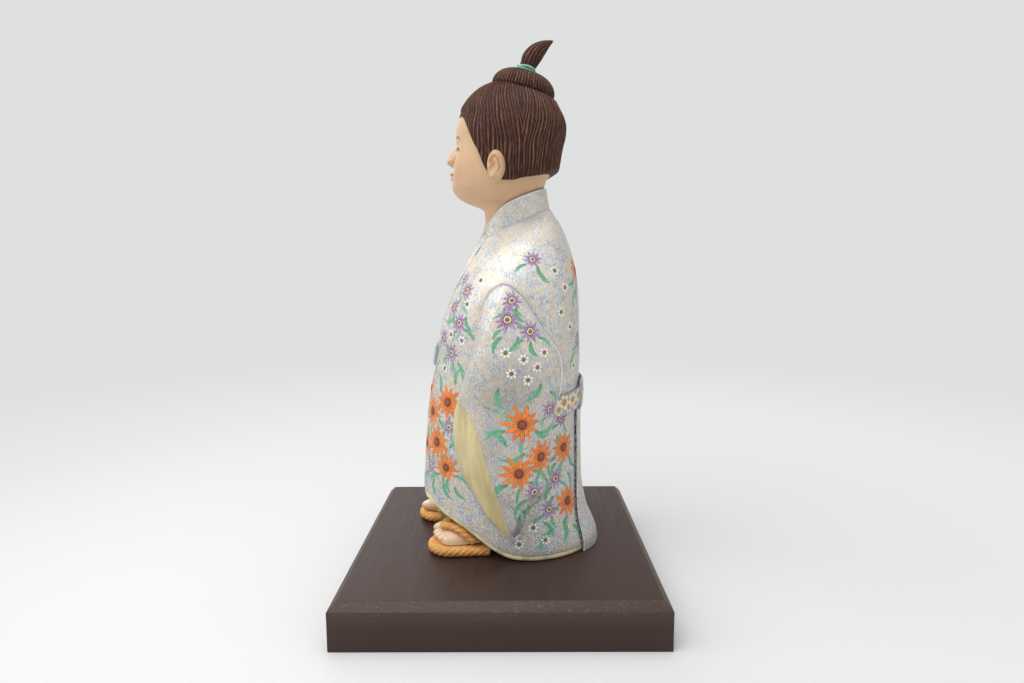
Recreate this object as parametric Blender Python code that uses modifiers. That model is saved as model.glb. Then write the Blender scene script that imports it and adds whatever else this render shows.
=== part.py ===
"""Carved and painted standing doll on a square board, each piece a separate solid.

Metres, +Z up. The doll faces -Y and its left side is +X. The origin is the
middle of the board's underside. Everything above the board is laid out from
the middle of the board's top.
"""
import functools
import math

import bmesh
import bpy
import numpy as np
from mathutils import Matrix, Vector

MM = 0.001

# Fits
GAP = 0.3 * MM
CUT_OVERRUN = 2 * MM

# Board
BOARD_SIDE = 180 * MM
BOARD_HEIGHT = 26.2 * MM
BOARD_CHAMFER = 4.3 * MM

# Locating pegs between board and doll
PEG_RADIUS = 4 * MM
PEG_BOARD_DEPTH = 12 * MM
PEG_RISE = 16 * MM
PEG_SPREAD = 34 * MM
PEG_Y = 22 * MM
PEG_EDGE = 0.8 * MM

# Robe
ROBE_HEIGHT = 195.5 * MM
ROBE_FRONT = 55.6 * MM
ROBE_BACK = 51.8 * MM
ROBE_HALF_WIDTH = 44 * MM
ROBE_AXIS_Y = 6 * MM
HEM_LIFT = 29.5 * MM
LINING_THICKNESS = 2.3 * MM
PANEL_THICKNESS = 1.3 * MM
PANEL_FLARE = 1.4 * MM
SASH_WIDTH = 12.6 * MM
SASH_THICKNESS = 1.2 * MM
KNOT_WIDTH = 26 * MM
KNOT_HEIGHT = 19 * MM
KNOT_THICKNESS = 1.3 * MM
TIE_WIDTH = 15 * MM
TIE_HEIGHT = 13 * MM
TIE_THICKNESS = 1.5 * MM
COLLAR_THICKNESS = 1.7 * MM
SLEEVE_DEPTH = 16 * MM
SLEEVE_LINING_THICKNESS = 1.3 * MM

# Inner robe, which shows between the feet
INNER_LEFT_X = 8 * MM
INNER_RIGHT_X = -12 * MM
INNER_LEFT_SETBACK = 17.1 * MM
INNER_RIGHT_SETBACK = 7.1 * MM
INNER_BACK_RISE = 8.2 * MM

# Feet and sandals
SANDAL_WIDTH = 29 * MM
SANDAL_THICKNESS = 6.5 * MM
SANDAL_HEADROOM = 1.3 * MM
SANDAL_EDGE = 1.8 * MM
LEFT_SANDAL_X = 24.4 * MM
LEFT_SANDAL_SETBACK = 4.1 * MM
RIGHT_SANDAL_X = -27.8 * MM
RIGHT_SANDAL_ADVANCE = 8.4 * MM
FOOT_HALF_WIDTH = 11.4 * MM
FOOT_HEIGHT = 8.4 * MM
FOOT_BACK_GAP = 6.5 * MM
TOE_SETBACK = 3 * MM
THONG_RADIUS = 2.3 * MM
THONG_BACK_GAP = 3 * MM

# Head
HEAD_HEIGHT = 77.6 * MM
HEAD_FRONT = 35 * MM
HEAD_BACK = 30.6 * MM
HEAD_HALF_WIDTH = 32 * MM
NOSE_LENGTH = 5.2 * MM
LIP_RISE = 1.9 * MM
TENON_RADIUS = 9 * MM
TENON_LENGTH = 26 * MM
EAR_WIDTH = 11.6 * MM
EAR_HEIGHT = 19 * MM
EAR_THICKNESS = 7 * MM
EAR_SINK = 0.4 * MM
EAR_ADVANCE = 7.6 * MM
EAR_LEVEL_SHARE = 0.415

# Hair
HAIR_FRONT_THICKNESS = 1.5 * MM
HAIR_BACK_THICKNESS = 3.1 * MM
HAIR_SIDE_THICKNESS = 1.8 * MM
HAIR_TOP_THICKNESS = 2.4 * MM
HAIR_FOOT_SHARE = 0.312
HAIR_HEIGHT_SHARE = 0.825
HAIR_BACK_EDGE = 4.6 * MM
HAIR_SINK = 2 * MM
BUN_RADIUS = 19.2 * MM
BUN_HEIGHT = 12.4 * MM
BUN_SETBACK = 7.2 * MM
CORD_HEIGHT = 3.1 * MM
CORD_RADIUS = 6.1 * MM
CORD_BACKSET = -1.4 * MM
TUFT_STEM_RADIUS = 2.5 * MM
TUFT_STEM_DEPTH = 7 * MM
TUFT_HEIGHT = 18.2 * MM
TUFT_REACH = 11.1 * MM
TUFT_NECK_RADIUS = 4.5 * MM
TUFT_RADIUS = 5.6 * MM

# Places that follow the pieces below them
ROBE_FRONT_Y = ROBE_AXIS_Y - ROBE_FRONT
NECK_Z = ROBE_HEIGHT + GAP
EAR_X = HEAD_HALF_WIDTH - EAR_SINK
EAR_Y = ROBE_AXIS_Y - EAR_ADVANCE
EAR_Z = NECK_Z + HEAD_HEIGHT * EAR_LEVEL_SHARE
HAIR_FRONT = HEAD_FRONT + HAIR_FRONT_THICKNESS
HAIR_BACK = HEAD_BACK + HAIR_BACK_THICKNESS
HAIR_HALF_WIDTH = HEAD_HALF_WIDTH + HAIR_SIDE_THICKNESS
HAIR_FOOT_Z = NECK_Z + HEAD_HEIGHT * HAIR_FOOT_SHARE
HAIR_HEIGHT = HEAD_HEIGHT * HAIR_HEIGHT_SHARE
BUN_SEAT_Z = NECK_Z + HEAD_HEIGHT + HAIR_TOP_THICKNESS
BUN_Y = ROBE_AXIS_Y + BUN_SETBACK

# Slopes and powers of the section curves
ROBE_POWER = 2.2
HEAD_POWER = 2.3
BUN_SLOPE = -0.284
HEM_REACH_SHARE = 0.30
HEM_FADE_POWER = 1.5

# Where the sash ends under the sleeves, in degrees from the front
SASH_END_TURN = 94

# Counts
ROBE_TURNS = 48
HEAD_TURNS = 36
SLEEVE_INNER_POINTS = 9
SLEEVE_OUTER_POINTS = 6
ROUND_SIDES = 20

# Height, front, back and width of the robe, and its slope towards the shoulders
ROBE_SHARES = (
    (0, 1, 1, 0.99, 0), (0.026, 1, 0.99, 1, 0), (0.056, 1, 0.95, 0.99, 0),
    (0.092, 1, 0.896, 0.977, 0), (0.143, 0.998, 0.853, 0.96, 0), (0.194, 0.99, 0.822, 0.948, 0),
    (0.256, 0.98, 0.811, 0.939, 0), (0.312, 0.97, 0.807, 0.932, 0), (0.368, 0.95, 0.803, 0.927, 0),
    (0.435, 0.93, 0.803, 0.923, 0), (0.496, 0.895, 0.807, 0.925, 0), (0.537, 0.865, 0.815, 0.93, 0),
    (0.614, 0.815, 0.82, 0.943, 0), (0.69, 0.773, 0.813, 0.961, 0), (0.747, 0.71, 0.807, 0.968, 0.06),
    (0.803, 0.648, 0.79, 0.955, 0.12), (0.854, 0.576, 0.745, 0.898, 0.2), (0.90, 0.513, 0.68, 0.795, 0.28),
    (0.941, 0.44, 0.604, 0.66, 0.36), (0.972, 0.37, 0.531, 0.523, 0.42), (1, 0.333, 0.463, 0.398, 0.46),
)
# How far forward of the robe's axis, and how much of the hem's lift there
HEM_SHARES = (
    (-0.26, 0), (-0.19, 0.007), (0.02, 0.064), (0.176, 0.203), (0.282, 0.339), (0.388, 0.485),
    (0.495, 0.617), (0.604, 0.722), (0.718, 0.824), (0.813, 0.922), (0.89, 0.98), (1, 1),
)
# Turn from the front, middle of the sash as a share of the robe's height
SASH_SHARES = ((90, 0.49), (125, 0.465), (160, 0.474), (180, 0.482))
# Middle of the tie that closes the robe in front, as a share of the robe's height
TIE_LEVEL_SHARE = 0.604
# Height of the back panel's edge and its turn from the front
PANEL_SHARES = ((0, 143), (0.06, 145.6), (0.103, 147.7), (0.154, 150.6), (0.213, 155.2), (0.45, 157.5))
# Height, front turn and depth, ridge turn and depth, middle depth, back turn and depth, inner depth
SLEEVE_SHARES = (
    (0.084, 88.4, 0.425, 89.4, 0.50, 0.506, 93.2, 0.494, 0.394),
    (0.100, 83.6, 0.325, 88.6, 0.56, 0.58, 94.4, 0.575, 0.288),
    (0.126, 77.5, 0.25, 87.9, 0.64, 0.663, 96.2, 0.638, 0.20),
    (0.169, 71.6, 0.206, 86.3, 0.75, 0.75, 99, 0.67, 0.138),
    (0.203, 67.6, 0.20, 84.8, 0.838, 0.80, 108, 0.475, 0.125),
    (0.223, 65.2, 0.194, 83.9, 0.888, 0.825, 113, 0.375, 0.125),
    (0.277, 59.4, 0.188, 81.3, 0.956, 0.863, 117.2, 0.313, 0.125),
    (0.338, 55.2, 0.188, 78.4, 0.944, 0.85, 118, 0.288, 0.125),
    (0.398, 53.0, 0.188, 74.7, 0.875, 0.813, 119.2, 0.263, 0.125),
    (0.443, 53.2, 0.188, 70.6, 0.763, 0.775, 120.5, 0.25, 0.125),
    (0.472, 54.6, 0.194, 66.0, 0.663, 0.75, 123, 0.244, 0.125),
    (0.489, 55.6, 0.194, 60.6, 0.581, 0.735, 124.6, 0.238, 0.125),
    (0.507, 57.0, 0.188, 62.2, 0.625, 0.73, 125.8, 0.231, 0.125),
    (0.535, 58.6, 0.175, 64.6, 0.675, 0.725, 127, 0.225, 0.125),
    (0.565, 59.9, 0.169, 67.2, 0.713, 0.706, 127.7, 0.219, 0.125),
    (0.622, 63.0, 0.163, 70.6, 0.688, 0.65, 126.4, 0.188, 0.115),
    (0.663, 65.0, 0.138, 73.4, 0.613, 0.563, 120.3, 0.156, 0.075),
    (0.691, 66.2, 0.119, 75.6, 0.563, 0.50, 114.3, 0.131, 0.044),
    (0.743, 68.2, 0.10, 79.6, 0.463, 0.388, 104.9, 0.113, 0.034),
    (0.791, 70.2, 0.094, 83.0, 0.35, 0.275, 97.3, 0.10, 0.034),
    (0.815, 73.6, 0.094, 84.4, 0.244, 0.188, 91.5, 0.094, 0.034),
    (0.824, 76.6, 0.094, 84.6, 0.181, 0.144, 90.2, 0.094, 0.034),
    (0.831, 81.0, 0.088, 84.6, 0.113, 0.103, 87.4, 0.088, 0.034),
)
SLEEVE_MOUTH_TOP_SHARE = 0.489
# Height, front, back, width and slope of the neck and head
HEAD_SHARES = (
    (0, 0.503, 0.67, 0.469, 0.46), (0.054, 0.494, 0.663, 0.484, 0.46), (0.131, 0.44, 0.67, 0.531, 0.44),
    (0.189, 0.45, 0.667, 0.625, 0.38), (0.221, 0.535, 0.663, 0.72, 0.3), (0.245, 0.71, 0.668, 0.785, 0.21),
    (0.27, 0.855, 0.675, 0.837, 0.155), (0.298, 0.95, 0.688, 0.886, 0.115),
    (0.336, 1.003, 0.715, 0.932, 0.07), (0.376, 1, 0.768, 0.963, 0.03), (0.454, 0.971, 0.882, 0.984, 0),
    (0.544, 0.931, 0.948, 0.994, 0), (0.621, 0.917, 0.98, 0.984, 0), (0.699, 0.926, 1, 0.978, 0),
    (0.776, 0.894, 0.98, 0.953, 0), (0.853, 0.80, 0.948, 0.90, 0), (0.91, 0.671, 0.87, 0.80, -0.03),
    (0.955, 0.52, 0.68, 0.66, -0.12), (0.983, 0.34, 0.45, 0.48, -0.22), (1, 0.15, 0.2, 0.25, -0.284),
)
# Height, front, back and width of the hair
HAIR_SHARES = (
    (0, 1, 0.80, 0.917), (0.094, 1, 0.85, 0.964), (0.172, 0.986, 0.884, 0.982), (0.266, 0.945, 0.914, 0.994),
    (0.359, 0.918, 0.947, 1), (0.43, 0.90, 0.982, 1), (0.522, 0.865, 1, 0.985), (0.61, 0.80, 0.964, 0.93),
    (0.69, 0.79, 0.89, 0.86), (0.734, 0.748, 0.85, 0.80), (0.803, 0.649, 0.78, 0.70),
    (0.878, 0.485, 0.70, 0.565), (0.916, 0.32, 0.65, 0.49), (0.96, 0.16, 0.60, 0.42), (1, 0.08, 0.55, 0.36),
)
# Turn from the front and height of the hairline
HAIRLINE_SHARES = (
    (0, 0.628), (20, 0.61), (33.8, 0.566), (44.4, 0.481), (50.7, 0.406), (56.2, 0.331), (61.5, 0.269),
    (65.5, 0.206), (69.1, 0.139), (73, 0.085), (79, 0.04), (85.5, 0.01), (91, 0.008), (101, 0.024),
    (116, 0.035), (133, 0.05), (150, 0.065), (180, 0.072),
)
# Turn from the front and height of the collar's top edge above its foot
COLLAR_RISE_SHARES = (
    (0, 0.02), (20, 0.12), (35, 0.34), (50, 0.60), (70, 0.84), (90, 0.99), (120, 1.05), (150, 1.06),
    (180, 1.03),
)
# Steps of one front band: inner edge turn and height, outer edge turn and height
LEFT_BAND_SHARES = (
    (-21, 0.645, -5, 0.645), (-19, 0.71, -2.5, 0.70), (-16.5, 0.785, 0.5, 0.76), (-12, 0.865, 6, 0.825),
    (-6, 0.94, 14, 0.885),
)
# Bun profile: radius and height
BUN_SHARES = (
    (0.94, 0), (1.0, 0.17), (0.985, 0.40), (0.90, 0.64), (0.74, 0.85), (0.55, 0.965), (0.42, 1.0), (0, 1.0),
)
# Tuft above its cord: backward reach, height, half depth and half thickness
TUFT_SHARES = (
    (0.046, 0.08, 0.89, 0.82), (0.12, 0.29, 1.0, 0.88), (0.28, 0.50, 0.93, 0.82), (0.50, 0.69, 0.72, 0.66),
    (0.74, 0.85, 0.40, 0.42), (0.93, 0.955, 0.14, 0.20),
)
# Foot: place along it from the toes, half width and height
FOOT_SHARES = (
    (0, 0.62, 0.45), (0.12, 0.90, 0.72), (0.30, 1.0, 0.92), (0.5, 0.94, 0.98), (0.72, 0.80, 0.86),
    (1, 0.68, 0.34),
)
# Toes from the inner to the outer side: place across, setback, radius
TOE_SHARES = (
    (-0.66, 0.0, 0.36), (-0.20, 0.04, 0.24), (0.16, 0.16, 0.22), (0.46, 0.36, 0.20), (0.72, 0.64, 0.19),
)
# Thong: place from toes to back, and angle over the foot
THONG_SHARES = ((0.0, 8), (0.16, 24), (0.38, 44), (0.62, 62), (0.84, 78), (1.0, 90))


def new_collection(name):
    collection = bpy.data.collections.new(name)
    bpy.context.scene.collection.children.link(collection)
    return collection


def paint(name, colour, roughness, metallic=0.0):
    material = bpy.data.materials.new(name)
    material.use_nodes = True
    shader = material.node_tree.nodes["Principled BSDF"]
    shader.inputs["Base Color"].default_value = (*colour, 1.0)
    shader.inputs["Roughness"].default_value = roughness
    shader.inputs["Metallic"].default_value = metallic
    return material


@functools.lru_cache(maxsize=None)
def curve_of(rows):
    """Places, values and even slopes of a table whose rows lie on a smooth curve."""
    table = np.asarray(rows, dtype=float)
    places, values = table[:, 0], table[:, 1:]
    rises = np.diff(values, axis=0) / np.diff(places)[:, None]
    slopes = np.vstack([rises[:1], (rises[:-1] + rises[1:]) / 2, rises[-1:]])
    least = np.minimum(np.abs(rises[:-1]), np.abs(rises[1:]))
    same = rises[:-1] * rises[1:] > 0
    slopes[1:-1] = np.where(same, np.sign(slopes[1:-1]) * np.minimum(np.abs(slopes[1:-1]), 3 * least), 0)
    return places, values, slopes


def row_at(rows, place):
    """The values of a table at a place between its rows."""
    places, values, slopes = curve_of(rows)
    index = int(np.clip(np.searchsorted(places, place, side="right") - 1, 0, len(places) - 2))
    span = places[index + 1] - places[index]
    t = float(np.clip((place - places[index]) / span, 0, 1))
    return (values[index] * (1 + 2 * t) * (1 - t) ** 2 + slopes[index] * span * t * (1 - t) ** 2
            + values[index + 1] * t * t * (3 - 2 * t) + slopes[index + 1] * span * t * t * (t - 1))


def rounded(value, power):
    return math.copysign(abs(value) ** (2 / power), value)


def hem_lift(reach):
    """Lift of the hem at a distance behind the robe's axis."""
    return HEM_LIFT * row_at(HEM_SHARES, -reach / ROBE_FRONT)[0]


def under_hem(height):
    """How far back the hem's underside comes down to a height."""
    front, back = -ROBE_FRONT, ROBE_BACK
    for _ in range(40):
        middle = (front + back) / 2
        if hem_lift(middle) > height:
            front = middle
        else:
            back = middle
    return ROBE_AXIS_Y + front


def robe_skin(turn, level):
    front, back, width, slope = row_at(ROBE_SHARES, level)
    across, along = math.sin(turn), -math.cos(turn)
    depth = front * ROBE_FRONT if along < 0 else back * ROBE_BACK
    reach = depth * rounded(along, ROBE_POWER)
    fade = max(0.0, 1 - level / HEM_REACH_SHARE) ** HEM_FADE_POWER
    return Vector((
        width * ROBE_HALF_WIDTH * rounded(across, ROBE_POWER),
        ROBE_AXIS_Y + reach,
        level * ROBE_HEIGHT + slope * reach + hem_lift(reach) * fade,
    ))


def robe_point(turn, level, offset=0.0):
    """A point on the robe, or at a distance outside it."""
    point = robe_skin(turn, level)
    if offset == 0:
        return point
    step = 0.002
    low, high = max(0.0, level - step), min(1.0, level + step)
    across = robe_skin(turn + step, level) - robe_skin(turn - step, level)
    upward = robe_skin(turn, high) - robe_skin(turn, low)
    return point + across.cross(upward).normalized() * offset


def hem_level(turn, rise):
    """The level at a small height above the hem."""
    reach = robe_skin(turn, 0.0).y - ROBE_AXIS_Y
    lost = HEM_FADE_POWER * hem_lift(reach) / HEM_REACH_SHARE
    return rise / (ROBE_HEIGHT - lost)


def head_relief(x, height):
    """How far the nose and lips stand out of the face."""
    nose_width, lip_width = HEAD_HALF_WIDTH / 8, HEAD_HALF_WIDTH / 6
    tip = HEAD_HEIGHT * 0.53
    spread = HEAD_HEIGHT * (0.088 if height > tip else 0.031)
    nose = NOSE_LENGTH * math.exp(-(x / nose_width) ** 2 - ((height - tip) / spread) ** 2)
    lips = 0.0
    for share in (0.419, 0.383):
        rise = (height - HEAD_HEIGHT * share) / (HEAD_HEIGHT * 0.0165)
        lips += math.exp(-(x / lip_width) ** 2 - rise ** 2)
    return nose + LIP_RISE * lips


def head_skin(turn, level, grow=0.0):
    front, back, width, slope = row_at(HEAD_SHARES, level)
    across, along = math.sin(turn), -math.cos(turn)
    depth = (front * HEAD_FRONT if along < 0 else back * HEAD_BACK) + grow
    reach = depth * rounded(along, HEAD_POWER)
    height = level * HEAD_HEIGHT
    return Vector((
        (width * HEAD_HALF_WIDTH + grow) * rounded(across, HEAD_POWER),
        ROBE_AXIS_Y + reach,
        NECK_Z + height + slope * reach,
    ))


def head_point(turn, level, grow=0.0):
    point = head_skin(turn, level, grow)
    if math.cos(turn) > 0.3:
        point.y -= head_relief(point.x, point.z - NECK_Z)
    return point


def head_level(turn, z):
    """The level where the head's surface passes a height."""
    level = (z - NECK_Z) / HEAD_HEIGHT
    for _ in range(12):
        level += (z - head_skin(turn, level).z) / HEAD_HEIGHT
    return level


def bun_plane(y):
    return BUN_SEAT_Z + BUN_SLOPE * (y - ROBE_AXIS_Y)


def hair_skin(turn, z):
    front, back, width = row_at(HAIR_SHARES, (z - HAIR_FOOT_Z) / HAIR_HEIGHT)
    across, along = math.sin(turn), -math.cos(turn)
    depth = front * HAIR_FRONT if along < 0 else back * HAIR_BACK
    return Vector((
        width * HAIR_HALF_WIDTH * rounded(across, HEAD_POWER),
        ROBE_AXIS_Y + depth * rounded(along, HEAD_POWER),
        z,
    ))


def hair_top(turn):
    """Where the hair meets the flat seat of the bun."""
    point = hair_skin(turn, BUN_SEAT_Z)
    for _ in range(12):
        point = hair_skin(turn, bun_plane(point.y))
    return point


def hairline(turn):
    degrees = abs(math.degrees(math.remainder(turn, 2 * math.pi)))
    return HAIR_FOOT_Z + HAIR_HEIGHT * row_at(HAIRLINE_SHARES, degrees)[0]


def turns_of(count):
    return [2 * math.pi * step / count for step in range(count)]


def add_mesh(name, mesh, collection, material, parent):
    obj = bpy.data.objects.new(name, mesh)
    collection.objects.link(obj)
    obj.parent = parent
    if material:
        mesh.materials.append(material)
    return obj


def finish_mesh(name, bm, smooth_angle):
    bmesh.ops.recalc_face_normals(bm, faces=bm.faces)
    mesh = bpy.data.meshes.new(name)
    bm.to_mesh(mesh)
    bm.free()
    if smooth_angle:
        mesh.shade_smooth()
        mesh.set_sharp_from_angle(angle=math.radians(smooth_angle))
    return mesh


def close_ladder(bm, ring):
    """Close a ring that is alike left and right with rungs across it."""
    count = len(ring)
    half = count // 2
    bm.faces.new((ring[0], ring[1], ring[-1]))
    for step in range(1, half - 1):
        bm.faces.new((ring[step], ring[step + 1], ring[count - step - 1], ring[count - step]))
    bm.faces.new((ring[half - 1], ring[half], ring[half + 1]))


def loft_mesh(name, rings, ends="ladder", smooth_angle=35):
    """Faces between rings of points; ends are a ladder, a plain face or a closed loop."""
    bm = bmesh.new()
    rows = [[bm.verts.new(point) for point in ring] for ring in rings]
    pairs = list(zip(rows, rows[1:]))
    if ends == "loop":
        pairs.append((rows[-1], rows[0]))
    for low, high in pairs:
        count = len(low)
        for step in range(count):
            after = (step + 1) % count
            bm.faces.new((low[step], low[after], high[after], high[step]))
    if ends == "ladder":
        close_ladder(bm, rows[0])
        close_ladder(bm, rows[-1])
    elif ends == "face":
        bm.faces.new(rows[0])
        bm.faces.new(rows[-1])
    return finish_mesh(name, bm, smooth_angle)


def slab_rings(inner_rows, outer_rows):
    """Rings round a thick sheet, from rows on its inner and its outer side."""
    return [list(inner) + list(reversed(outer)) for inner, outer in zip(inner_rows, outer_rows)]


def mirrored(rings):
    return [[Vector((-point.x, point.y, point.z)) for point in ring] for ring in rings]


def cut(target, cutter, operation="DIFFERENCE", solver="EXACT"):
    modifier = target.modifiers.new(cutter.name, "BOOLEAN")
    modifier.operation = operation
    modifier.solver = solver
    modifier.object = cutter


def as_cutter(obj):
    obj.hide_render = True
    obj.display_type = "WIRE"
    return obj


class Workshop:
    """The collections, the frame that lifts, and the ways to add a piece."""

    def __init__(self):
        for obj in list(bpy.data.objects):
            bpy.data.objects.remove(obj)
        self.parts = new_collection("gosho_doll")
        self.cutters = new_collection("cutters")
        self.figure = bpy.data.objects.new("figure", None)
        self.figure.location.z = BOARD_HEIGHT
        self.parts.objects.link(self.figure)

    def piece(self, name, mesh, material):
        return add_mesh(name, mesh, self.parts, material, self.figure)

    def cutter(self, name, mesh):
        return as_cutter(add_mesh(name, mesh, self.cutters, None, self.figure))

    def round_cutter(self, name, radius, low, high, x=0.0, y=0.0):
        bm = bmesh.new()
        bmesh.ops.create_cone(bm, cap_ends=True, segments=ROUND_SIDES, radius1=radius, radius2=radius,
                              depth=high - low, matrix=Matrix.Translation((x, y, (low + high) / 2)))
        return self.cutter(name, finish_mesh(name, bm, 0))


def make_board(shop):
    wood = paint("board_wood", (0.045, 0.03, 0.026), 0.5)
    bm = bmesh.new()
    bmesh.ops.create_cube(bm, size=1.0, matrix=Matrix.Translation((0, 0, BOARD_HEIGHT / 2))
                          @ Matrix.Diagonal((BOARD_SIDE, BOARD_SIDE, BOARD_HEIGHT, 1)))
    rim = [edge for edge in bm.edges if all(vert.co.z > BOARD_HEIGHT / 2 for vert in edge.verts)]
    bmesh.ops.bevel(bm, geom=rim, offset=BOARD_CHAMFER, segments=1, profile=0.5, affect="EDGES")
    board = add_mesh("plinth_board", finish_mesh("plinth_board", bm, 0), shop.parts, wood, None)
    for side, x in (("left", PEG_SPREAD / 2), ("right", -PEG_SPREAD / 2)):
        low = -PEG_BOARD_DEPTH - GAP
        hole = shop.round_cutter("board_socket_" + side, PEG_RADIUS + GAP, low, CUT_OVERRUN, x, PEG_Y)
        cut(board, hole)


def make_pegs(shop):
    birch = paint("peg_wood", (0.62, 0.45, 0.27), 0.6)
    length = PEG_BOARD_DEPTH + PEG_RISE
    for side, x in (("left", PEG_SPREAD / 2), ("right", -PEG_SPREAD / 2)):
        bm = bmesh.new()
        bmesh.ops.create_cone(bm, cap_ends=True, segments=ROUND_SIDES, radius1=PEG_RADIUS, radius2=PEG_RADIUS,
                              depth=length)
        rims = [edge for edge in bm.edges if abs(edge.verts[0].co.z - edge.verts[1].co.z) < length / 2]
        bmesh.ops.bevel(bm, geom=rims, offset=PEG_EDGE, segments=1, profile=0.5, affect="EDGES")
        name = "locating_peg_" + side
        peg = add_mesh(name, finish_mesh(name, bm, 50), shop.parts, birch, None)
        peg.location = (x, PEG_Y, BOARD_HEIGHT - PEG_BOARD_DEPTH + length / 2)


def robe_rings(offset=0.0, rise=0.0):
    levels = list(np.linspace(0, 0.76, 14)) + list(np.linspace(0.81, 1, 7))
    foot = LINING_THICKNESS + 2 * GAP
    rings = []
    for share in levels:
        ring = []
        for turn in turns_of(ROBE_TURNS):
            low = hem_level(turn, foot)
            ring.append(robe_point(turn, low + (1 - low) * share, offset))
        rings.append(ring)
    if rise:
        rings[-1] = [point + Vector((0, 0, rise)) for point in rings[-1]]
    return rings


def make_robe(shop):
    silver = paint("robe_paint", (0.60, 0.60, 0.60), 0.35, 0.35)
    robe = shop.piece("robe_body", loft_mesh("robe_body", robe_rings()), silver)
    floor = ROBE_HEIGHT - TENON_LENGTH - GAP
    cut(robe, shop.round_cutter("neck_socket", TENON_RADIUS + GAP, floor, ROBE_HEIGHT + TENON_LENGTH / 2,
                                0.0, ROBE_AXIS_Y))
    lining_rings = []
    for rise in (GAP, GAP + LINING_THICKNESS):
        lining_rings.append([robe_point(turn, hem_level(turn, rise)) for turn in turns_of(ROBE_TURNS)])
    cream = paint("hem_lining_paint", (0.42, 0.38, 0.26), 0.5)
    lining = shop.piece("hem_lining", loft_mesh("hem_lining", lining_rings), cream)
    for side, x in (("left", PEG_SPREAD / 2), ("right", -PEG_SPREAD / 2)):
        top = PEG_RISE + GAP
        hole = shop.round_cutter("robe_socket_" + side, PEG_RADIUS + GAP, -CUT_OVERRUN, top, x, PEG_Y)
        cut(robe, hole)
        cut(lining, hole)


def make_back_panel(shop):
    silver = paint("panel_paint", (0.58, 0.59, 0.61), 0.35, 0.35)
    inner_rows, outer_rows = [], []
    low = hem_level(math.pi, GAP)
    for share in np.linspace(0, 1, 11):
        top = sash_middle(math.pi) - (SASH_WIDTH / 2 + 2 * GAP) / ROBE_HEIGHT
        edge = math.radians(row_at(PANEL_SHARES, top * share)[0])
        inner, outer = [], []
        for turn in np.linspace(edge, 2 * math.pi - edge, 11):
            top = sash_middle(turn) - (SASH_WIDTH / 2 + 2 * GAP) / ROBE_HEIGHT
            level = low + (top - low) * share
            flare = PANEL_FLARE * max(0.0, 1 - level / HEM_REACH_SHARE) ** 4
            middle = 1 - ((turn - math.pi) / (math.pi - edge)) ** 4
            inner.append(robe_point(turn, level, 2 * GAP))
            outer.append(robe_point(turn, level, 2 * GAP + PANEL_THICKNESS + flare * middle))
        inner_rows.append(inner)
        outer_rows.append(outer)
    rings = slab_rings(inner_rows, outer_rows)
    shop.piece("back_panel", loft_mesh("back_panel", rings, "face"), silver)


def sash_middle(turn):
    return row_at(SASH_SHARES, abs(math.degrees(math.remainder(turn, 2 * math.pi))))[0]


def pad_rings(middle_turn, middle_level, seat, size):
    """A low pad of a width, height and thickness on the robe, swollen in its middle."""
    width, height, thickness = size
    reach = width / 2 / (row_at(ROBE_SHARES, middle_level)[2] * ROBE_HALF_WIDTH)
    low = height / 2 / ROBE_HEIGHT
    inner_rows, outer_rows = [], []
    for share in np.linspace(-1, 1, 9):
        inner, outer = [], []
        for side in np.linspace(-1, 1, 7):
            swell = (1 - 0.6 * side ** 4) * (1 - 0.6 * share ** 4)
            turn = middle_turn + reach * side * (1 - 0.12 * share * share)
            inner.append(robe_point(turn, middle_level + low * share, seat))
            outer.append(robe_point(turn, middle_level + low * share, seat + thickness * swell))
        inner_rows.append(inner)
        outer_rows.append(outer)
    return slab_rings(inner_rows, outer_rows)


def make_sash(shop):
    brocade = paint("sash_paint", (0.42, 0.45, 0.52), 0.5, 0.2)
    half = SASH_WIDTH / 2 / ROBE_HEIGHT
    corners = ((-1, GAP), (-1, GAP + SASH_THICKNESS), (0, GAP + SASH_THICKNESS), (1, GAP + SASH_THICKNESS),
               (1, GAP), (0, GAP))
    end = math.radians(SASH_END_TURN)
    rings = []
    for turn in np.linspace(end, 2 * math.pi - end, 27):
        rings.append([robe_point(turn, sash_middle(turn) + side * half, offset) for side, offset in corners])
    shop.piece("sash", loft_mesh("sash", rings, "face"), brocade)
    seat = 2 * GAP + SASH_THICKNESS + GAP / 2
    knot = pad_rings(math.pi, sash_middle(math.pi), seat, (KNOT_WIDTH, KNOT_HEIGHT, KNOT_THICKNESS))
    knot_paint = paint("knot_paint", (0.38, 0.42, 0.50), 0.5, 0.2)
    shop.piece("sash_knot", loft_mesh("sash_knot", knot, "face"), knot_paint)
    tie = pad_rings(0.0, TIE_LEVEL_SHARE, GAP, (TIE_WIDTH, TIE_HEIGHT, TIE_THICKNESS))
    tie_paint = paint("tie_paint", (0.40, 0.45, 0.52), 0.5, 0.2)
    shop.piece("front_tie", loft_mesh("front_tie", tie, "face"), tie_paint)


def collar_section(turn, neck_turn):
    """One cut through the collar's neck part, from the top edge down inside and up outside."""
    rise = row_at(COLLAR_RISE_SHARES, abs(math.degrees(neck_turn)))[0]
    foot = head_skin(neck_turn, 0.0, -GAP) - Vector((0, 0, 2 * GAP))
    top_level = 0.184 * rise
    inner = [head_skin(neck_turn, top_level * share, -GAP) for share in (1, 0.66, 0.33)] + [foot]
    rim = robe_point(turn, 1.0) - Vector((0, 0, GAP))
    away = Vector((inner[0].x, inner[0].y - ROBE_AXIS_Y, 0)).normalized()
    lip = inner[0] + away * COLLAR_THICKNESS
    outer = [rim + (lip - rim) * share for share in (0, 0.33, 0.66, 1)]
    return inner + outer


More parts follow.
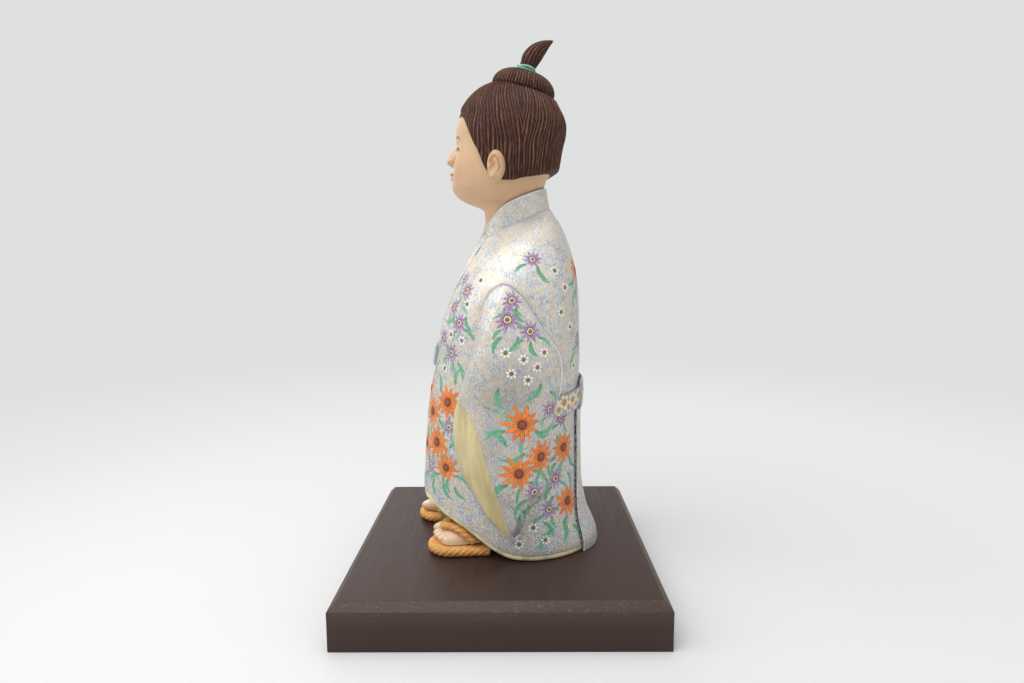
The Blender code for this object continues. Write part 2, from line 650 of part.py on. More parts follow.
def band_section(row):
    """One cut through a front band that lies on the robe."""
    turn_in, level_in, turn_out, level_out = row
    inner, outer = [], []
    for share in (0, 0.33, 0.66, 1):
        turn = math.radians(turn_in + (turn_out - turn_in) * share)
        level = level_in + (level_out - level_in) * share
        inner.append(robe_point(turn, level, -2 * GAP))
        outer.append(robe_point(turn, level, GAP + COLLAR_THICKNESS))
    return inner + list(reversed(outer))


def make_collar(shop, robe_shape, neck_shape):
    silver = paint("collar_paint", (0.62, 0.62, 0.60), 0.35, 0.35)
    rings = [band_section(row) for row in LEFT_BAND_SHARES]
    steps = 22
    first, last = math.radians(34), 2 * math.pi - math.radians(30)
    for step in range(steps + 1):
        turn = first + (last - first) * step / steps
        away = math.remainder(turn - math.pi, 2 * math.pi)
        lag = math.radians(16) * (abs(away) / (math.pi - first)) ** 3
        neck_turn = math.remainder(turn + math.copysign(lag, away), 2 * math.pi)
        rings.append(collar_section(turn, neck_turn))
    collar = shop.piece("collar", loft_mesh("collar", rings, "face"), silver)
    cut(collar, robe_shape, solver="MANIFOLD")
    cut(collar, neck_shape, solver="MANIFOLD")


def sleeve_row(level):
    row = row_at(SLEEVE_SHARES, level)
    front, ridge, back = (math.radians(row[index]) for index in (0, 2, 5))
    return front, row[1], ridge, row[3], row[4], back, row[6], row[7]


def sleeve_ring(level, lined):
    """The closed outline of the left sleeve at one level."""
    front, front_depth, ridge, ridge_depth, middle_depth, back, back_depth, inner_depth = sleeve_row(level)
    if lined:
        setback = (SLEEVE_LINING_THICKNESS + GAP) / ROBE_HALF_WIDTH
        front += setback
        ridge += setback
    points = []
    for turn in np.linspace(front, back, SLEEVE_INNER_POINTS):
        points.append(robe_point(turn, level, inner_depth * SLEEVE_DEPTH))
    for t in np.linspace(1, 0, SLEEVE_OUTER_POINTS):
        depth = ridge_depth * (1 - t) * (1 - 2 * t) + 4 * middle_depth * t * (1 - t)
        depth += back_depth * t * (2 * t - 1)
        points.append(robe_point(ridge + (back - ridge) * t, level, depth * SLEEVE_DEPTH))
    middle = robe_point((front + ridge) / 2, level, (front_depth + ridge_depth) / 2 * SLEEVE_DEPTH)
    return points + [middle, robe_point(front, level, front_depth * SLEEVE_DEPTH)]


def sleeve_lining_ring(level):
    front, front_depth, ridge, ridge_depth = sleeve_row(level)[:4]
    thickness = SLEEVE_LINING_THICKNESS / ROBE_HALF_WIDTH
    inner, outer = [], []
    for share in np.linspace(0, 1, 5):
        turn = front + (ridge - front) * share
        depth = (front_depth + (ridge_depth - front_depth) * share) * SLEEVE_DEPTH
        outer.append(robe_point(turn, level, depth))
        inner.append(robe_point(turn + thickness, level, depth))
    return outer + list(reversed(inner))


def make_sleeves(shop):
    levels = [row[0] for row in SLEEVE_SHARES]
    rings = [sleeve_ring(level, level <= SLEEVE_MOUTH_TOP_SHARE) for level in levels]
    mouth = [level for level in levels if level < SLEEVE_MOUTH_TOP_SHARE]
    mouth += [SLEEVE_MOUTH_TOP_SHARE - GAP / ROBE_HEIGHT]
    linings = [sleeve_lining_ring(level) for level in mouth]
    sides = (("left", rings, linings), ("right", mirrored(rings), mirrored(linings)))
    for side, shape, lining_shape in sides:
        silver = paint("sleeve_paint_" + side, (0.61, 0.61, 0.60), 0.35, 0.35)
        cream = paint("sleeve_lining_paint_" + side, (0.80, 0.72, 0.43), 0.5)
        name = "sleeve_" + side
        shop.piece(name, loft_mesh(name, shape, "face"), silver)
        name = "sleeve_lining_" + side
        shop.piece(name, loft_mesh(name, lining_shape, "face", 30), cream)


def make_inner_robe(shop):
    olive = paint("inner_robe_paint", (0.50, 0.43, 0.25), 0.6)
    rings = []
    for share in np.linspace(0, 1, 7):
        x = INNER_RIGHT_X + (INNER_LEFT_X - INNER_RIGHT_X) * share
        setback = INNER_RIGHT_SETBACK + (INNER_LEFT_SETBACK - INNER_RIGHT_SETBACK) * share
        ys = np.linspace(ROBE_FRONT_Y + setback, under_hem(INNER_BACK_RISE), 8)
        low = [Vector((x, y, GAP)) for y in ys]
        high = [Vector((x, y, hem_lift(y - ROBE_AXIS_Y) - GAP)) for y in ys]
        rings.append(low + list(reversed(high)))
    shop.piece("inner_robe", loft_mesh("inner_robe", rings, "face", 40), olive)


def sandal_back():
    return under_hem(SANDAL_THICKNESS + SANDAL_HEADROOM)


def foot_back():
    return sandal_back() - FOOT_BACK_GAP


def sandal_outline(x, tip):
    """Round toe, then sides that narrow towards the back."""
    half = SANDAL_WIDTH / 2
    points = []
    for step in range(17):
        angle = math.pi * step / 16
        points.append(Vector((x - half * math.cos(angle), tip + half - half * math.sin(angle), GAP)))
    back_half = half * 0.86
    back = sandal_back()
    points.append(Vector((x + back_half, back, GAP)))
    points.append(Vector((x - back_half, back, GAP)))
    return points


def foot_size(share):
    width, height = row_at(FOOT_SHARES, share)
    return width * FOOT_HALF_WIDTH, height * FOOT_HEIGHT


def foot_point(x, tip, share, angle, grow=0.0):
    """A point round the foot; the angle runs over it from its left to its right."""
    front = tip + TOE_SETBACK + FOOT_HALF_WIDTH / 2
    width, height = foot_size(share)
    return Vector((
        x + (width + grow) * rounded(math.cos(angle), 2.6),
        front + (foot_back() - front) * share,
        SANDAL_THICKNESS + 2 * GAP + (height + grow) * rounded(math.sin(angle), 2.6),
    ))


def make_foot(shop, side, x, tip, outward):
    skin = paint("foot_skin_" + side, (0.78, 0.60, 0.42), 0.55)
    rings = []
    for share in np.linspace(0, 1, 9):
        over = [foot_point(x, tip, share, math.pi * step / 10) for step in range(11)]
        rings.append(over)
    name = "foot_" + side
    foot = shop.piece(name, loft_mesh(name, rings, "face"), skin)
    front = tip + TOE_SETBACK
    for index, (across, setback, radius) in enumerate(TOE_SHARES):
        size = radius * FOOT_HALF_WIDTH
        bm = bmesh.new()
        place = Matrix.Translation((x - outward * across * FOOT_HALF_WIDTH,
                                    front + size * 1.5 + setback * FOOT_HALF_WIDTH,
                                    SANDAL_THICKNESS + 2 * GAP + size * 1.02))
        shape = place @ Matrix.Diagonal((size, size * 1.5, size, 1))
        bmesh.ops.create_uvsphere(bm, u_segments=10, v_segments=6, radius=1.0, matrix=shape)
        toe_name = "toe_{}_{}".format(side, index)
        cut(foot, shop.cutter(toe_name, finish_mesh(toe_name, bm, 0)), "UNION")


def make_sandal(shop, side, x, tip):
    straw = paint("sandal_straw_" + side, (0.62, 0.34, 0.10), 0.6)
    bm = bmesh.new()
    sole = bm.faces.new([bm.verts.new(point) for point in sandal_outline(x, tip)])
    grown = bmesh.ops.extrude_face_region(bm, geom=[sole])["geom"]
    top = [item for item in grown if isinstance(item, bmesh.types.BMVert)]
    bmesh.ops.translate(bm, vec=(0, 0, SANDAL_THICKNESS), verts=top)
    rims = [edge for edge in bm.edges if edge.verts[0].co.z == edge.verts[1].co.z]
    bmesh.ops.bevel(bm, geom=rims, offset=SANDAL_EDGE, segments=2, profile=0.5, affect="EDGES")
    name = "sandal_" + side
    shop.piece(name, finish_mesh(name, bm, 50), straw)
    path = []
    front = tip + TOE_SETBACK + FOOT_HALF_WIDTH / 2
    end_share = 1 - THONG_BACK_GAP / (foot_back() - front)
    grow = THONG_RADIUS + 2 * GAP
    for place, angle in THONG_SHARES:
        share = end_share + (0.22 - end_share) * place
        path.append(foot_point(x, tip, share, math.radians(angle), grow))
    low = SANDAL_THICKNESS + 2 * GAP + THONG_RADIUS
    for point in path:
        point.z = max(point.z, low)
    path += [Vector((2 * x - point.x, point.y, point.z)) for point in reversed(path[:-1])]
    curve = bpy.data.curves.new("thong_" + side, "CURVE")
    curve.dimensions = "3D"
    curve.bevel_depth = THONG_RADIUS
    curve.bevel_resolution = 2
    curve.resolution_u = 2
    curve.use_fill_caps = True
    spline = curve.splines.new("BEZIER")
    spline.bezier_points.add(len(path) - 1)
    for point, place in zip(spline.bezier_points, path):
        point.co = place
        point.handle_left_type = "AUTO"
        point.handle_right_type = "AUTO"
    add_mesh_curve(shop, "thong_" + side, curve, paint("thong_straw_" + side, (0.66, 0.38, 0.12), 0.6))


def add_mesh_curve(shop, name, curve, material):
    obj = bpy.data.objects.new(name, curve)
    shop.parts.objects.link(obj)
    obj.parent = shop.figure
    curve.materials.append(material)


def make_feet(shop):
    for side, x, setback, outward in (("left", LEFT_SANDAL_X, LEFT_SANDAL_SETBACK, -1),
                                      ("right", RIGHT_SANDAL_X, -RIGHT_SANDAL_ADVANCE, 1)):
        make_foot(shop, side, x, ROBE_FRONT_Y + setback, outward)
        make_sandal(shop, side, x, ROBE_FRONT_Y + setback)


def head_rings(grow=0.0):
    levels = [0, 0.062, 0.124, 0.176, 0.214, 0.236, 0.257, 0.282, 0.313, 0.347, 0.378, 0.401, 0.426, 0.465,
              0.501, 0.532, 0.568, 0.63, 0.713, 0.796, 0.87, 0.925, 0.965, 1]
    turns = turns_of(HEAD_TURNS)
    rings = []
    for level in levels:
        rise = Vector((0, 0, grow * level))
        rings.append([head_point(turn, level, grow) + rise for turn in turns])
    return rings


def ear_matrix(side, grow=0.0):
    size = Matrix.Diagonal((EAR_THICKNESS / 2 + grow, EAR_WIDTH / 2 + grow, EAR_HEIGHT / 2 + grow, 1))
    turn = Matrix.Rotation(math.radians(-16) * side, 4, "Z") @ Matrix.Rotation(math.radians(6) * side, 4, "Y")
    return Matrix.Translation((EAR_X * side, EAR_Y, EAR_Z)) @ turn @ size


def ear_shape(shop, name, side, grow=0.0):
    bm = bmesh.new()
    bmesh.ops.create_uvsphere(bm, u_segments=16, v_segments=10, radius=1.0, matrix=ear_matrix(side, grow))
    return shop.cutter(name, finish_mesh(name, bm, 0))


def make_head(shop):
    skin = paint("head_skin", (0.78, 0.58, 0.38), 0.5)
    rings = head_rings()
    tenon = []
    for turn in turns_of(HEAD_TURNS):
        x, y = TENON_RADIUS * math.sin(turn), ROBE_AXIS_Y - TENON_RADIUS * math.cos(turn)
        tenon.append(Vector((x, y, 0)))
    slope = HEAD_SHARES[0][4]
    bottom = [point + Vector((0, 0, ROBE_HEIGHT - TENON_LENGTH)) for point in tenon]
    top = [point + Vector((0, 0, ROBE_HEIGHT + GAP + slope * (point.y - ROBE_AXIS_Y))) for point in tenon]
    head = shop.piece("head", loft_mesh("head", [bottom, top] + rings), skin)
    for name, side in (("ear_left", 1), ("ear_right", -1)):
        cut(head, ear_shape(shop, name, side), "UNION")


def make_hair(shop, neck_shape):
    dark = paint("hair_paint", (0.055, 0.028, 0.018), 0.5)
    turns = turns_of(HEAD_TURNS)
    steps = 9
    inner_rings = []
    for share in (1, 0.5, 0):
        ring = []
        for turn in turns:
            low = head_level(turn, hairline(turn))
            ring.append(head_skin(turn, low + (1 - low) * share, -HAIR_SINK))
        inner_rings.append(ring)
    outer_rings = []
    for step in range(steps + 1):
        share = step / steps
        ring = []
        for turn in turns:
            top = hair_top(turn)
            low = hairline(turn) + HAIR_BACK_EDGE * max(0.0, -math.cos(turn)) ** 2
            ring.append(hair_skin(turn, low + (top.z - low) * share))
        outer_rings.append(ring)
    hair = shop.piece("hair_cap", loft_mesh("hair_cap", inner_rings + outer_rings), dark)
    cut(hair, neck_shape)
    for name, side in (("ear_space_left", 1), ("ear_space_right", -1)):
        cut(hair, ear_shape(shop, name, side, GAP))


def bun_frame():
    """The bun's own frame, standing on its sloping seat."""
    tilt = math.atan(BUN_SLOPE)
    foot = Matrix.Translation((0, BUN_Y, bun_plane(BUN_Y)))
    return foot @ Matrix.Rotation(tilt, 4, "X")


def turned(shop, name, profile, material, frame):
    """A turned piece from a profile that runs down its outer side."""
    bm = bmesh.new()
    points = [bm.verts.new((radius, 0, height)) for radius, height in profile]
    for low, high in zip(points, points[1:]):
        bm.edges.new((low, high))
    mesh = bpy.data.meshes.new(name)
    bm.to_mesh(mesh)
    bm.free()
    obj = shop.piece(name, mesh, material)
    obj.matrix_local = frame
    screw = obj.modifiers.new("turn", "SCREW")
    screw.steps = 28
    screw.render_steps = 28
    screw.use_merge_vertices = True
    screw.merge_threshold = MM / 100
    screw.use_smooth_shade = True
    return obj


def make_bun(shop):
    dark = paint("bun_paint", (0.06, 0.03, 0.02), 0.5)
    frame = bun_frame() @ Matrix.Translation((0, 0, GAP))
    outside = [(radius * BUN_RADIUS, height * BUN_HEIGHT) for radius, height in reversed(BUN_SHARES)]
    bun = turned(shop, "hair_bun", outside + [(0, 0)], dark, frame)
    stem_low = BUN_HEIGHT - TUFT_STEM_DEPTH
    bm = bmesh.new()
    bmesh.ops.create_cone(bm, cap_ends=True, segments=ROUND_SIDES, radius1=TUFT_STEM_RADIUS + GAP,
                          radius2=TUFT_STEM_RADIUS + GAP, depth=TUFT_STEM_DEPTH + GAP + CUT_OVERRUN,
                          matrix=Matrix.Translation((0, CORD_BACKSET,
                                                     stem_low + (TUFT_STEM_DEPTH + CUT_OVERRUN - GAP) / 2)))
    socket = shop.cutter("tuft_socket", finish_mesh("tuft_socket", bm, 0))
    socket.matrix_local = frame
    cut(bun, socket)
    green = paint("cord_paint", (0.20, 0.50, 0.32), 0.6)
    seat = frame @ Matrix.Translation((0, CORD_BACKSET, BUN_HEIGHT + GAP))
    bore = TUFT_NECK_RADIUS + GAP
    round_edge = CORD_HEIGHT / 5
    profile = [(bore, CORD_HEIGHT), (CORD_RADIUS - round_edge, CORD_HEIGHT),
               (CORD_RADIUS, CORD_HEIGHT - round_edge), (CORD_RADIUS, round_edge),
               (CORD_RADIUS - round_edge, 0), (bore, 0), (bore, CORD_HEIGHT)]
    turned(shop, "topknot_cord", profile, green, seat)
    return seat


def make_tuft(shop, seat):
    dark = paint("tuft_paint", (0.05, 0.025, 0.016), 0.5)
    count = 20
    turns = turns_of(count)
    rings = []
    neck_top = CORD_HEIGHT + 2 * GAP
    stem = ((TUFT_STEM_RADIUS, -TUFT_STEM_DEPTH), (TUFT_STEM_RADIUS, GAP), (TUFT_NECK_RADIUS, GAP),
            (TUFT_NECK_RADIUS, neck_top))
    for radius, height in stem:
        rings.append([Vector((radius * math.sin(turn), -radius * math.cos(turn), height)) for turn in turns])
    path = [Vector((0, row[0] * TUFT_REACH, row[1] * TUFT_HEIGHT + neck_top)) for row in TUFT_SHARES]
    path.append(Vector((0, TUFT_REACH, TUFT_HEIGHT + neck_top)))
    for index, (reach, height, depth, thickness) in enumerate(TUFT_SHARES):
        ahead = path[index + 1] - path[max(index - 1, 0)]
        lean = math.atan2(ahead.y, ahead.z)
        ring = []
        for turn in turns:
            across = thickness * TUFT_RADIUS * math.sin(turn)
            along = -depth * TUFT_RADIUS * math.cos(turn)
            ring.append(path[index] + Vector((across, along * math.cos(lean), -along * math.sin(lean))))
        rings.append(ring)
    tuft = shop.piece("topknot", loft_mesh("topknot", rings), dark)
    tuft.matrix_local = seat


def main():
    shop = Workshop()
    make_board(shop)
    make_pegs(shop)
    make_robe(shop)
    make_back_panel(shop)
    make_sash(shop)
    robe_shape = shop.cutter("robe_shape", loft_mesh("robe_shape", robe_rings(GAP, GAP)))
    neck_shape = shop.cutter("neck_shape", loft_mesh("neck_shape", head_rings(GAP)))
    make_collar(shop, robe_shape, neck_shape)
    make_sleeves(shop)
    make_inner_robe(shop)
    make_feet(shop)
    make_head(shop)
    make_hair(shop, neck_shape)
    seat = make_bun(shop)
    make_tuft(shop, seat)


main()
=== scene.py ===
"""Dresses the packed standing doll: its painted robe, carved hair, face, sandals and board."""
import functools
import math

import bmesh
import bpy
import numpy as np
from mathutils import Matrix, Vector


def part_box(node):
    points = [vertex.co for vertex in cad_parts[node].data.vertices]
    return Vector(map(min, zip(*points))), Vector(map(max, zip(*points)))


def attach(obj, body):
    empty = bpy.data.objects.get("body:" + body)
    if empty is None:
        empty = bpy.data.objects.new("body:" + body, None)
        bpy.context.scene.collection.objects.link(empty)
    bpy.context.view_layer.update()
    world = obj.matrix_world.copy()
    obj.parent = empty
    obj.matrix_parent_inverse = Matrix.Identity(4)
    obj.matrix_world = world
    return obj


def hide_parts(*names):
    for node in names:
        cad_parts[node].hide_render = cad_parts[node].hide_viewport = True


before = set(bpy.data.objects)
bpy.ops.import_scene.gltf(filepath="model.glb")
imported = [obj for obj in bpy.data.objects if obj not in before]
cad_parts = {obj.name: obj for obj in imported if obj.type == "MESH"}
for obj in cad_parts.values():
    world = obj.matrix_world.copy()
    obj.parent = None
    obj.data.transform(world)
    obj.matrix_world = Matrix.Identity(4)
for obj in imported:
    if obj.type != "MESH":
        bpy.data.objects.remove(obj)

bl_info = {
    "name": "Carved Standing Doll",
    "version": (1, 0, 0),
    "blender": (4, 5, 0),
    "location": "View3D > Sidebar > Doll",
    "description": "Models and paints a carved standing doll on its square board",
    "category": "Add Mesh",
}

MM = 0.001
DEGREE = math.pi / 180
WELD = 0.001 * MM

# The board's top is the floor that the figure is laid out from
BOARD_LOW, BOARD_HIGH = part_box("plinth_board")
BOARD_TOP = BOARD_HIGH.z
BOARD_SLOPE = 4.3 * MM
BOARD_WEAR = 0.5 * MM
GAP = 0.3 * MM

# Robe
ROBE_HEIGHT = 195.5 * MM
ROBE_FRONT = 55.6 * MM
ROBE_BACK = 51.8 * MM
ROBE_HALF_WIDTH = 44 * MM
ROBE_AXIS_Y = 6 * MM
HEM_LIFT = 29.5 * MM
LINING_THICKNESS = 3.2 * MM
PANEL_THICKNESS = 1.3 * MM
PANEL_FLARE = 1.4 * MM
SASH_WIDTH = 12.6 * MM
SASH_HALF_LEVEL = SASH_WIDTH / 2 / ROBE_HEIGHT
SASH_FIRST_TURN = 94 * DEGREE
SASH_THICKNESS = 1.2 * MM
KNOT_SIZE = (26 * MM, 19 * MM, 1.3 * MM)
TIE_SIZE = (15 * MM, 13 * MM, 1.5 * MM)
COLLAR_THICKNESS = 1.7 * MM
SLEEVE_DEPTH = 16 * MM
SLEEVE_LINING_THICKNESS = 1.3 * MM
FRONT_STEP = 0.7 * MM
SEAM_LIFT = 0.35 * MM

# Peg holes under the robe
PEG_RADIUS = 4 * MM
PEG_RISE = 16 * MM
PEG_X = 17 * MM
PEG_Y = 22 * MM

# Head and hair
NECK_Z = ROBE_HEIGHT + GAP
HEAD_HEIGHT = 77.6 * MM
HEAD_FRONT = 35 * MM
HEAD_BACK = 30.6 * MM
HEAD_HALF_WIDTH = 32 * MM
NOSE_LENGTH = 5.2 * MM
NOSE_HALF_WIDTH = 4.2 * MM
NOSE_RISE = 40 * MM
NOSE_BRIDGE = (6.0 * MM, 2.8)
NOSE_UNDER = (3.8 * MM, 4)
LIP_RISE = 1.9 * MM
LIP_LEVELS = (0.407, 0.371)
MOUTH_HALF_WIDTH = 8.6 * MM
EAR_SIZE = (7 * MM, 10.4 * MM, 17.8 * MM)
EAR_PLACE = (31.6 * MM, -1.6 * MM, 228 * MM)
EAR_TURN = -16 * DEGREE
EAR_TILT = 6 * DEGREE
HAIR_FRONT = 36.5 * MM
HAIR_BACK = 33.7 * MM
HAIR_HALF_WIDTH = 33.8 * MM
HAIR_FOOT_Z = 220 * MM
HAIR_HEIGHT = 64 * MM
HAIR_BACK_EDGE = 4.6 * MM
HAIR_MEETING_TURN = 100 * DEGREE
HAIR_PULL = 5.5 * MM
SCALP_COVER = 0.45 * MM
BUN_SEAT_Z = 275.8 * MM
BUN_RADIUS = 19.2 * MM
BUN_HEIGHT = 12.4 * MM
BUN_Y = 13.2 * MM
CORD_HEIGHT = 3.1 * MM
CORD_RADIUS = 6.1 * MM
CORD_BACKSET = -1.4 * MM
TUFT_HEIGHT = 18.2 * MM
TUFT_REACH = 11.1 * MM
TUFT_RADIUS = 5.6 * MM
TUFT_STRANDS = 14
CORD_TWISTS = 34

# Feet and sandals
SANDAL_WIDTH = 29 * MM
SANDAL_THICKNESS = 6.5 * MM
SANDAL_BACK_Y = -6.5 * MM
FOOT_HALF_WIDTH = 11.4 * MM
FOOT_HEIGHT = 8.4 * MM
FOOT_BACK_Y = -13 * MM
TOE_SETBACK = 3 * MM
TOE_STRETCH = 2.4
TOE_HEIGHT = 1.08
FOOT_VOXEL = 0.3 * MM
SOLE_BACK_SHARE = 0.86
SOLE_WEAVE = 2.4 * MM
THONG_RADIUS = 2.4 * MM
SANDALS = {"left": (24.4 * MM, -45.5 * MM, 1), "right": (-27.8 * MM, -58 * MM, -1)}

# Slopes and powers of the section curves
ROBE_POWER = 2.2
HEAD_POWER = 2.3
BUN_SLOPE = -0.284
HEM_REACH_SHARE = 0.30
HEM_FADE_POWER = 1.5
TIE_LEVEL_SHARE = 0.604
SURFACE_STEP = 0.002
FACE_STEP = 0.003
MAP_STEP = 0.01

# Height, front, back and width of the robe, and its slope towards the shoulders
ROBE_SHARES = (
    (0, 1, 1, 0.99, 0), (0.026, 1, 0.99, 1, 0), (0.056, 1, 0.95, 0.99, 0),
    (0.092, 1, 0.896, 0.977, 0), (0.143, 0.998, 0.853, 0.96, 0), (0.194, 0.99, 0.822, 0.948, 0),
    (0.256, 0.98, 0.811, 0.939, 0), (0.312, 0.97, 0.807, 0.932, 0), (0.368, 0.95, 0.803, 0.927, 0),
    (0.435, 0.93, 0.803, 0.923, 0), (0.496, 0.895, 0.807, 0.925, 0), (0.537, 0.865, 0.815, 0.93, 0),
    (0.614, 0.815, 0.82, 0.943, 0), (0.69, 0.773, 0.813, 0.961, 0), (0.747, 0.71, 0.807, 0.968, 0.06),
    (0.803, 0.648, 0.79, 0.955, 0.12), (0.854, 0.576, 0.745, 0.898, 0.2), (0.90, 0.513, 0.68, 0.795, 0.28),
    (0.941, 0.44, 0.604, 0.66, 0.36), (0.972, 0.37, 0.531, 0.523, 0.42), (1, 0.333, 0.463, 0.398, 0.46),
)
# How far forward of the robe's axis, and how much of the hem's lift there
HEM_SHARES = (
    (-0.26, 0), (-0.19, 0.007), (0.02, 0.064), (0.176, 0.203), (0.282, 0.339), (0.388, 0.485),
    (0.495, 0.617), (0.604, 0.722), (0.718, 0.824), (0.813, 0.922), (0.89, 0.98), (1, 1),
)
# Turn from the front, middle of the sash as a share of the robe's height
SASH_SHARES = ((90, 0.49), (125, 0.465), (160, 0.474), (180, 0.482))
# Height of the back panel's edge and its turn from the front
PANEL_SHARES = ((0, 143), (0.06, 145.6), (0.103, 147.7), (0.154, 150.6), (0.213, 155.2), (0.45, 157.5))
# Height, front turn and depth, ridge turn and depth, middle depth, back turn and depth, inner depth
SLEEVE_SHARES = (
    (0.084, 88.4, 0.425, 89.4, 0.50, 0.506, 93.2, 0.494, 0.394),
    (0.100, 83.6, 0.325, 88.6, 0.56, 0.58, 94.4, 0.575, 0.288),
    (0.126, 77.5, 0.25, 87.9, 0.64, 0.663, 96.2, 0.638, 0.20),
    (0.169, 71.6, 0.206, 86.3, 0.75, 0.75, 99, 0.67, 0.138),
    (0.203, 67.6, 0.20, 84.8, 0.838, 0.80, 108, 0.475, 0.125),
    (0.223, 65.2, 0.194, 83.9, 0.888, 0.825, 113, 0.375, 0.125),
    (0.277, 59.4, 0.188, 81.3, 0.956, 0.863, 117.2, 0.313, 0.125),
    (0.338, 55.2, 0.188, 78.4, 0.944, 0.85, 118, 0.288, 0.125),
    (0.398, 53.0, 0.188, 74.7, 0.875, 0.813, 119.2, 0.263, 0.125),
    (0.443, 53.2, 0.188, 70.6, 0.763, 0.775, 120.5, 0.25, 0.125),
    (0.472, 54.6, 0.194, 66.0, 0.663, 0.75, 123, 0.244, 0.125),
    (0.489, 55.6, 0.194, 60.6, 0.581, 0.735, 124.6, 0.238, 0.125),
    (0.507, 57.0, 0.188, 62.2, 0.625, 0.73, 125.8, 0.231, 0.125),
    (0.535, 58.6, 0.175, 64.6, 0.675, 0.725, 127, 0.225, 0.125),
    (0.565, 59.9, 0.169, 67.2, 0.713, 0.706, 127.7, 0.219, 0.125),
    (0.622, 63.0, 0.163, 70.6, 0.688, 0.65, 126.4, 0.188, 0.115),
    (0.663, 65.0, 0.138, 73.4, 0.613, 0.563, 120.3, 0.156, 0.075),
    (0.691, 66.2, 0.119, 75.6, 0.563, 0.50, 114.3, 0.131, 0.044),
    (0.743, 68.2, 0.10, 79.6, 0.463, 0.388, 104.9, 0.113, 0.034),
    (0.791, 70.2, 0.094, 83.0, 0.35, 0.275, 97.3, 0.10, 0.034),
    (0.815, 73.6, 0.094, 84.4, 0.244, 0.188, 91.5, 0.094, 0.034),
    (0.824, 76.6, 0.094, 84.6, 0.181, 0.144, 90.2, 0.094, 0.034),
    (0.831, 81.0, 0.088, 84.6, 0.113, 0.103, 87.4, 0.088, 0.034),
)
SLEEVE_FOOT_SHARE = SLEEVE_SHARES[0][0]
SLEEVE_TOP_SHARE = SLEEVE_SHARES[-1][0]
SLEEVE_MOUTH_TOP_SHARE = 0.489
# Small forms of the face in mm: how far out, place beside the middle and reach, height, reach and slope
FACE_FORMS = (
    (0.1, 0, 4.4, 39.2, 2.6, 0), (2.1, 4.5, 2.0, 39, 2.2, 0), (-1.3, 7.1, 0.9, 38.8, 2.3, 0),
    (-1.0, 8.5, 5.5, 46.8, 2.6, 0), (0.8, 12, 4.6, 44.9, 1.7, 0), (0.9, 19, 7, 34, 8, 0),
    (-0.6, 0, 6.5, 30.2, 0.55, -0.018), (-0.8, 8.2, 1.4, 29.7, 1.2, 0), (0.4, 4.2, 3.2, 31.5, 1.1, 0),
    (0.4, 4.2, 3.2, 28.8, 1.1, 0), (-0.9, 0, 7, 28.8, 1.5, 0),
)
# Painted shade beside and under the nose, and a light blush on the cheeks, in mm: strength, place beside the
# middle and reach, height and reach
FACE_SHADE_AND_BLUSH = ((0.9, 7.0, 1.1, 38.6, 2.6), (0.4, 4.4, 2.4, 38.4, 2.6), (0.2, 17, 8, 34, 8))
# Painted strokes of the left eye and brow: piece, turns, heights in mm, width and thickness in mm
EYE_TURNS = (9.5, 15.5, 22, 29.5)
FACE_STROKES = (
    ("eye_whites", EYE_TURNS, (240.05, 241.0, 240.55, 238.85), 1.1, 0.06),
    ("eye_lines", EYE_TURNS, (240.1, 241.7, 241.2, 238.9), 1.05, 0.13),
    ("eye_lines", EYE_TURNS, (240.0, 240.3, 239.9, 238.8), 0.3, 0.1),
    ("eye_lines", (14.8, 18.0, 21.8), (240.8, 240.8, 240.8), 2.3, 0.1),
    ("brows", (10, 17, 23, 29), (246.9, 247.6, 246.8, 244.7), 1.25, 0.1),
)
# Height, front, back, width and slope of the neck and head
HEAD_SHARES = (
    (0, 0.503, 0.67, 0.469, 0.46), (0.054, 0.494, 0.663, 0.484, 0.46), (0.131, 0.44, 0.67, 0.531, 0.44),
    (0.189, 0.45, 0.667, 0.625, 0.38), (0.221, 0.535, 0.663, 0.72, 0.3), (0.245, 0.71, 0.668, 0.785, 0.21),
    (0.27, 0.855, 0.675, 0.837, 0.155), (0.298, 0.95, 0.688, 0.886, 0.115),
    (0.336, 1.003, 0.715, 0.932, 0.07), (0.376, 1, 0.768, 0.963, 0.03), (0.454, 0.971, 0.882, 0.984, 0),
    (0.544, 0.931, 0.948, 0.994, 0), (0.621, 0.917, 0.98, 0.984, 0), (0.699, 0.926, 1, 0.978, 0),
    (0.776, 0.894, 0.98, 0.953, 0), (0.853, 0.80, 0.948, 0.90, 0), (0.91, 0.671, 0.87, 0.80, -0.03),
    (0.955, 0.52, 0.68, 0.66, -0.12), (0.983, 0.34, 0.45, 0.48, -0.22), (1, 0.15, 0.2, 0.25, -0.284),
)
# Height, front, back and width of the hair
HAIR_SHARES = (
    (0, 1, 0.80, 0.917), (0.094, 1, 0.85, 0.964), (0.172, 0.986, 0.884, 0.982), (0.266, 0.945, 0.914, 0.994),
    (0.359, 0.918, 0.947, 1), (0.43, 0.90, 0.982, 1), (0.522, 0.865, 1, 0.985), (0.61, 0.80, 0.964, 0.93),
    (0.69, 0.79, 0.89, 0.86), (0.734, 0.748, 0.85, 0.80), (0.803, 0.649, 0.78, 0.70),
    (0.878, 0.485, 0.70, 0.565), (0.916, 0.32, 0.65, 0.49), (0.96, 0.16, 0.60, 0.42), (1, 0.08, 0.55, 0.36),
)
# Turn from the front and height of the hairline
HAIRLINE_SHARES = (
    (0, 0.628), (20, 0.61), (33.8, 0.566), (44.4, 0.481), (50.7, 0.406), (56.2, 0.331), (61.5, 0.269),
    (65.5, 0.206), (69.1, 0.139), (73, 0.085), (79, 0.04), (85.5, 0.01), (91, 0.008), (101, 0.024),
    (116, 0.035), (133, 0.05), (150, 0.065), (180, 0.072),
)
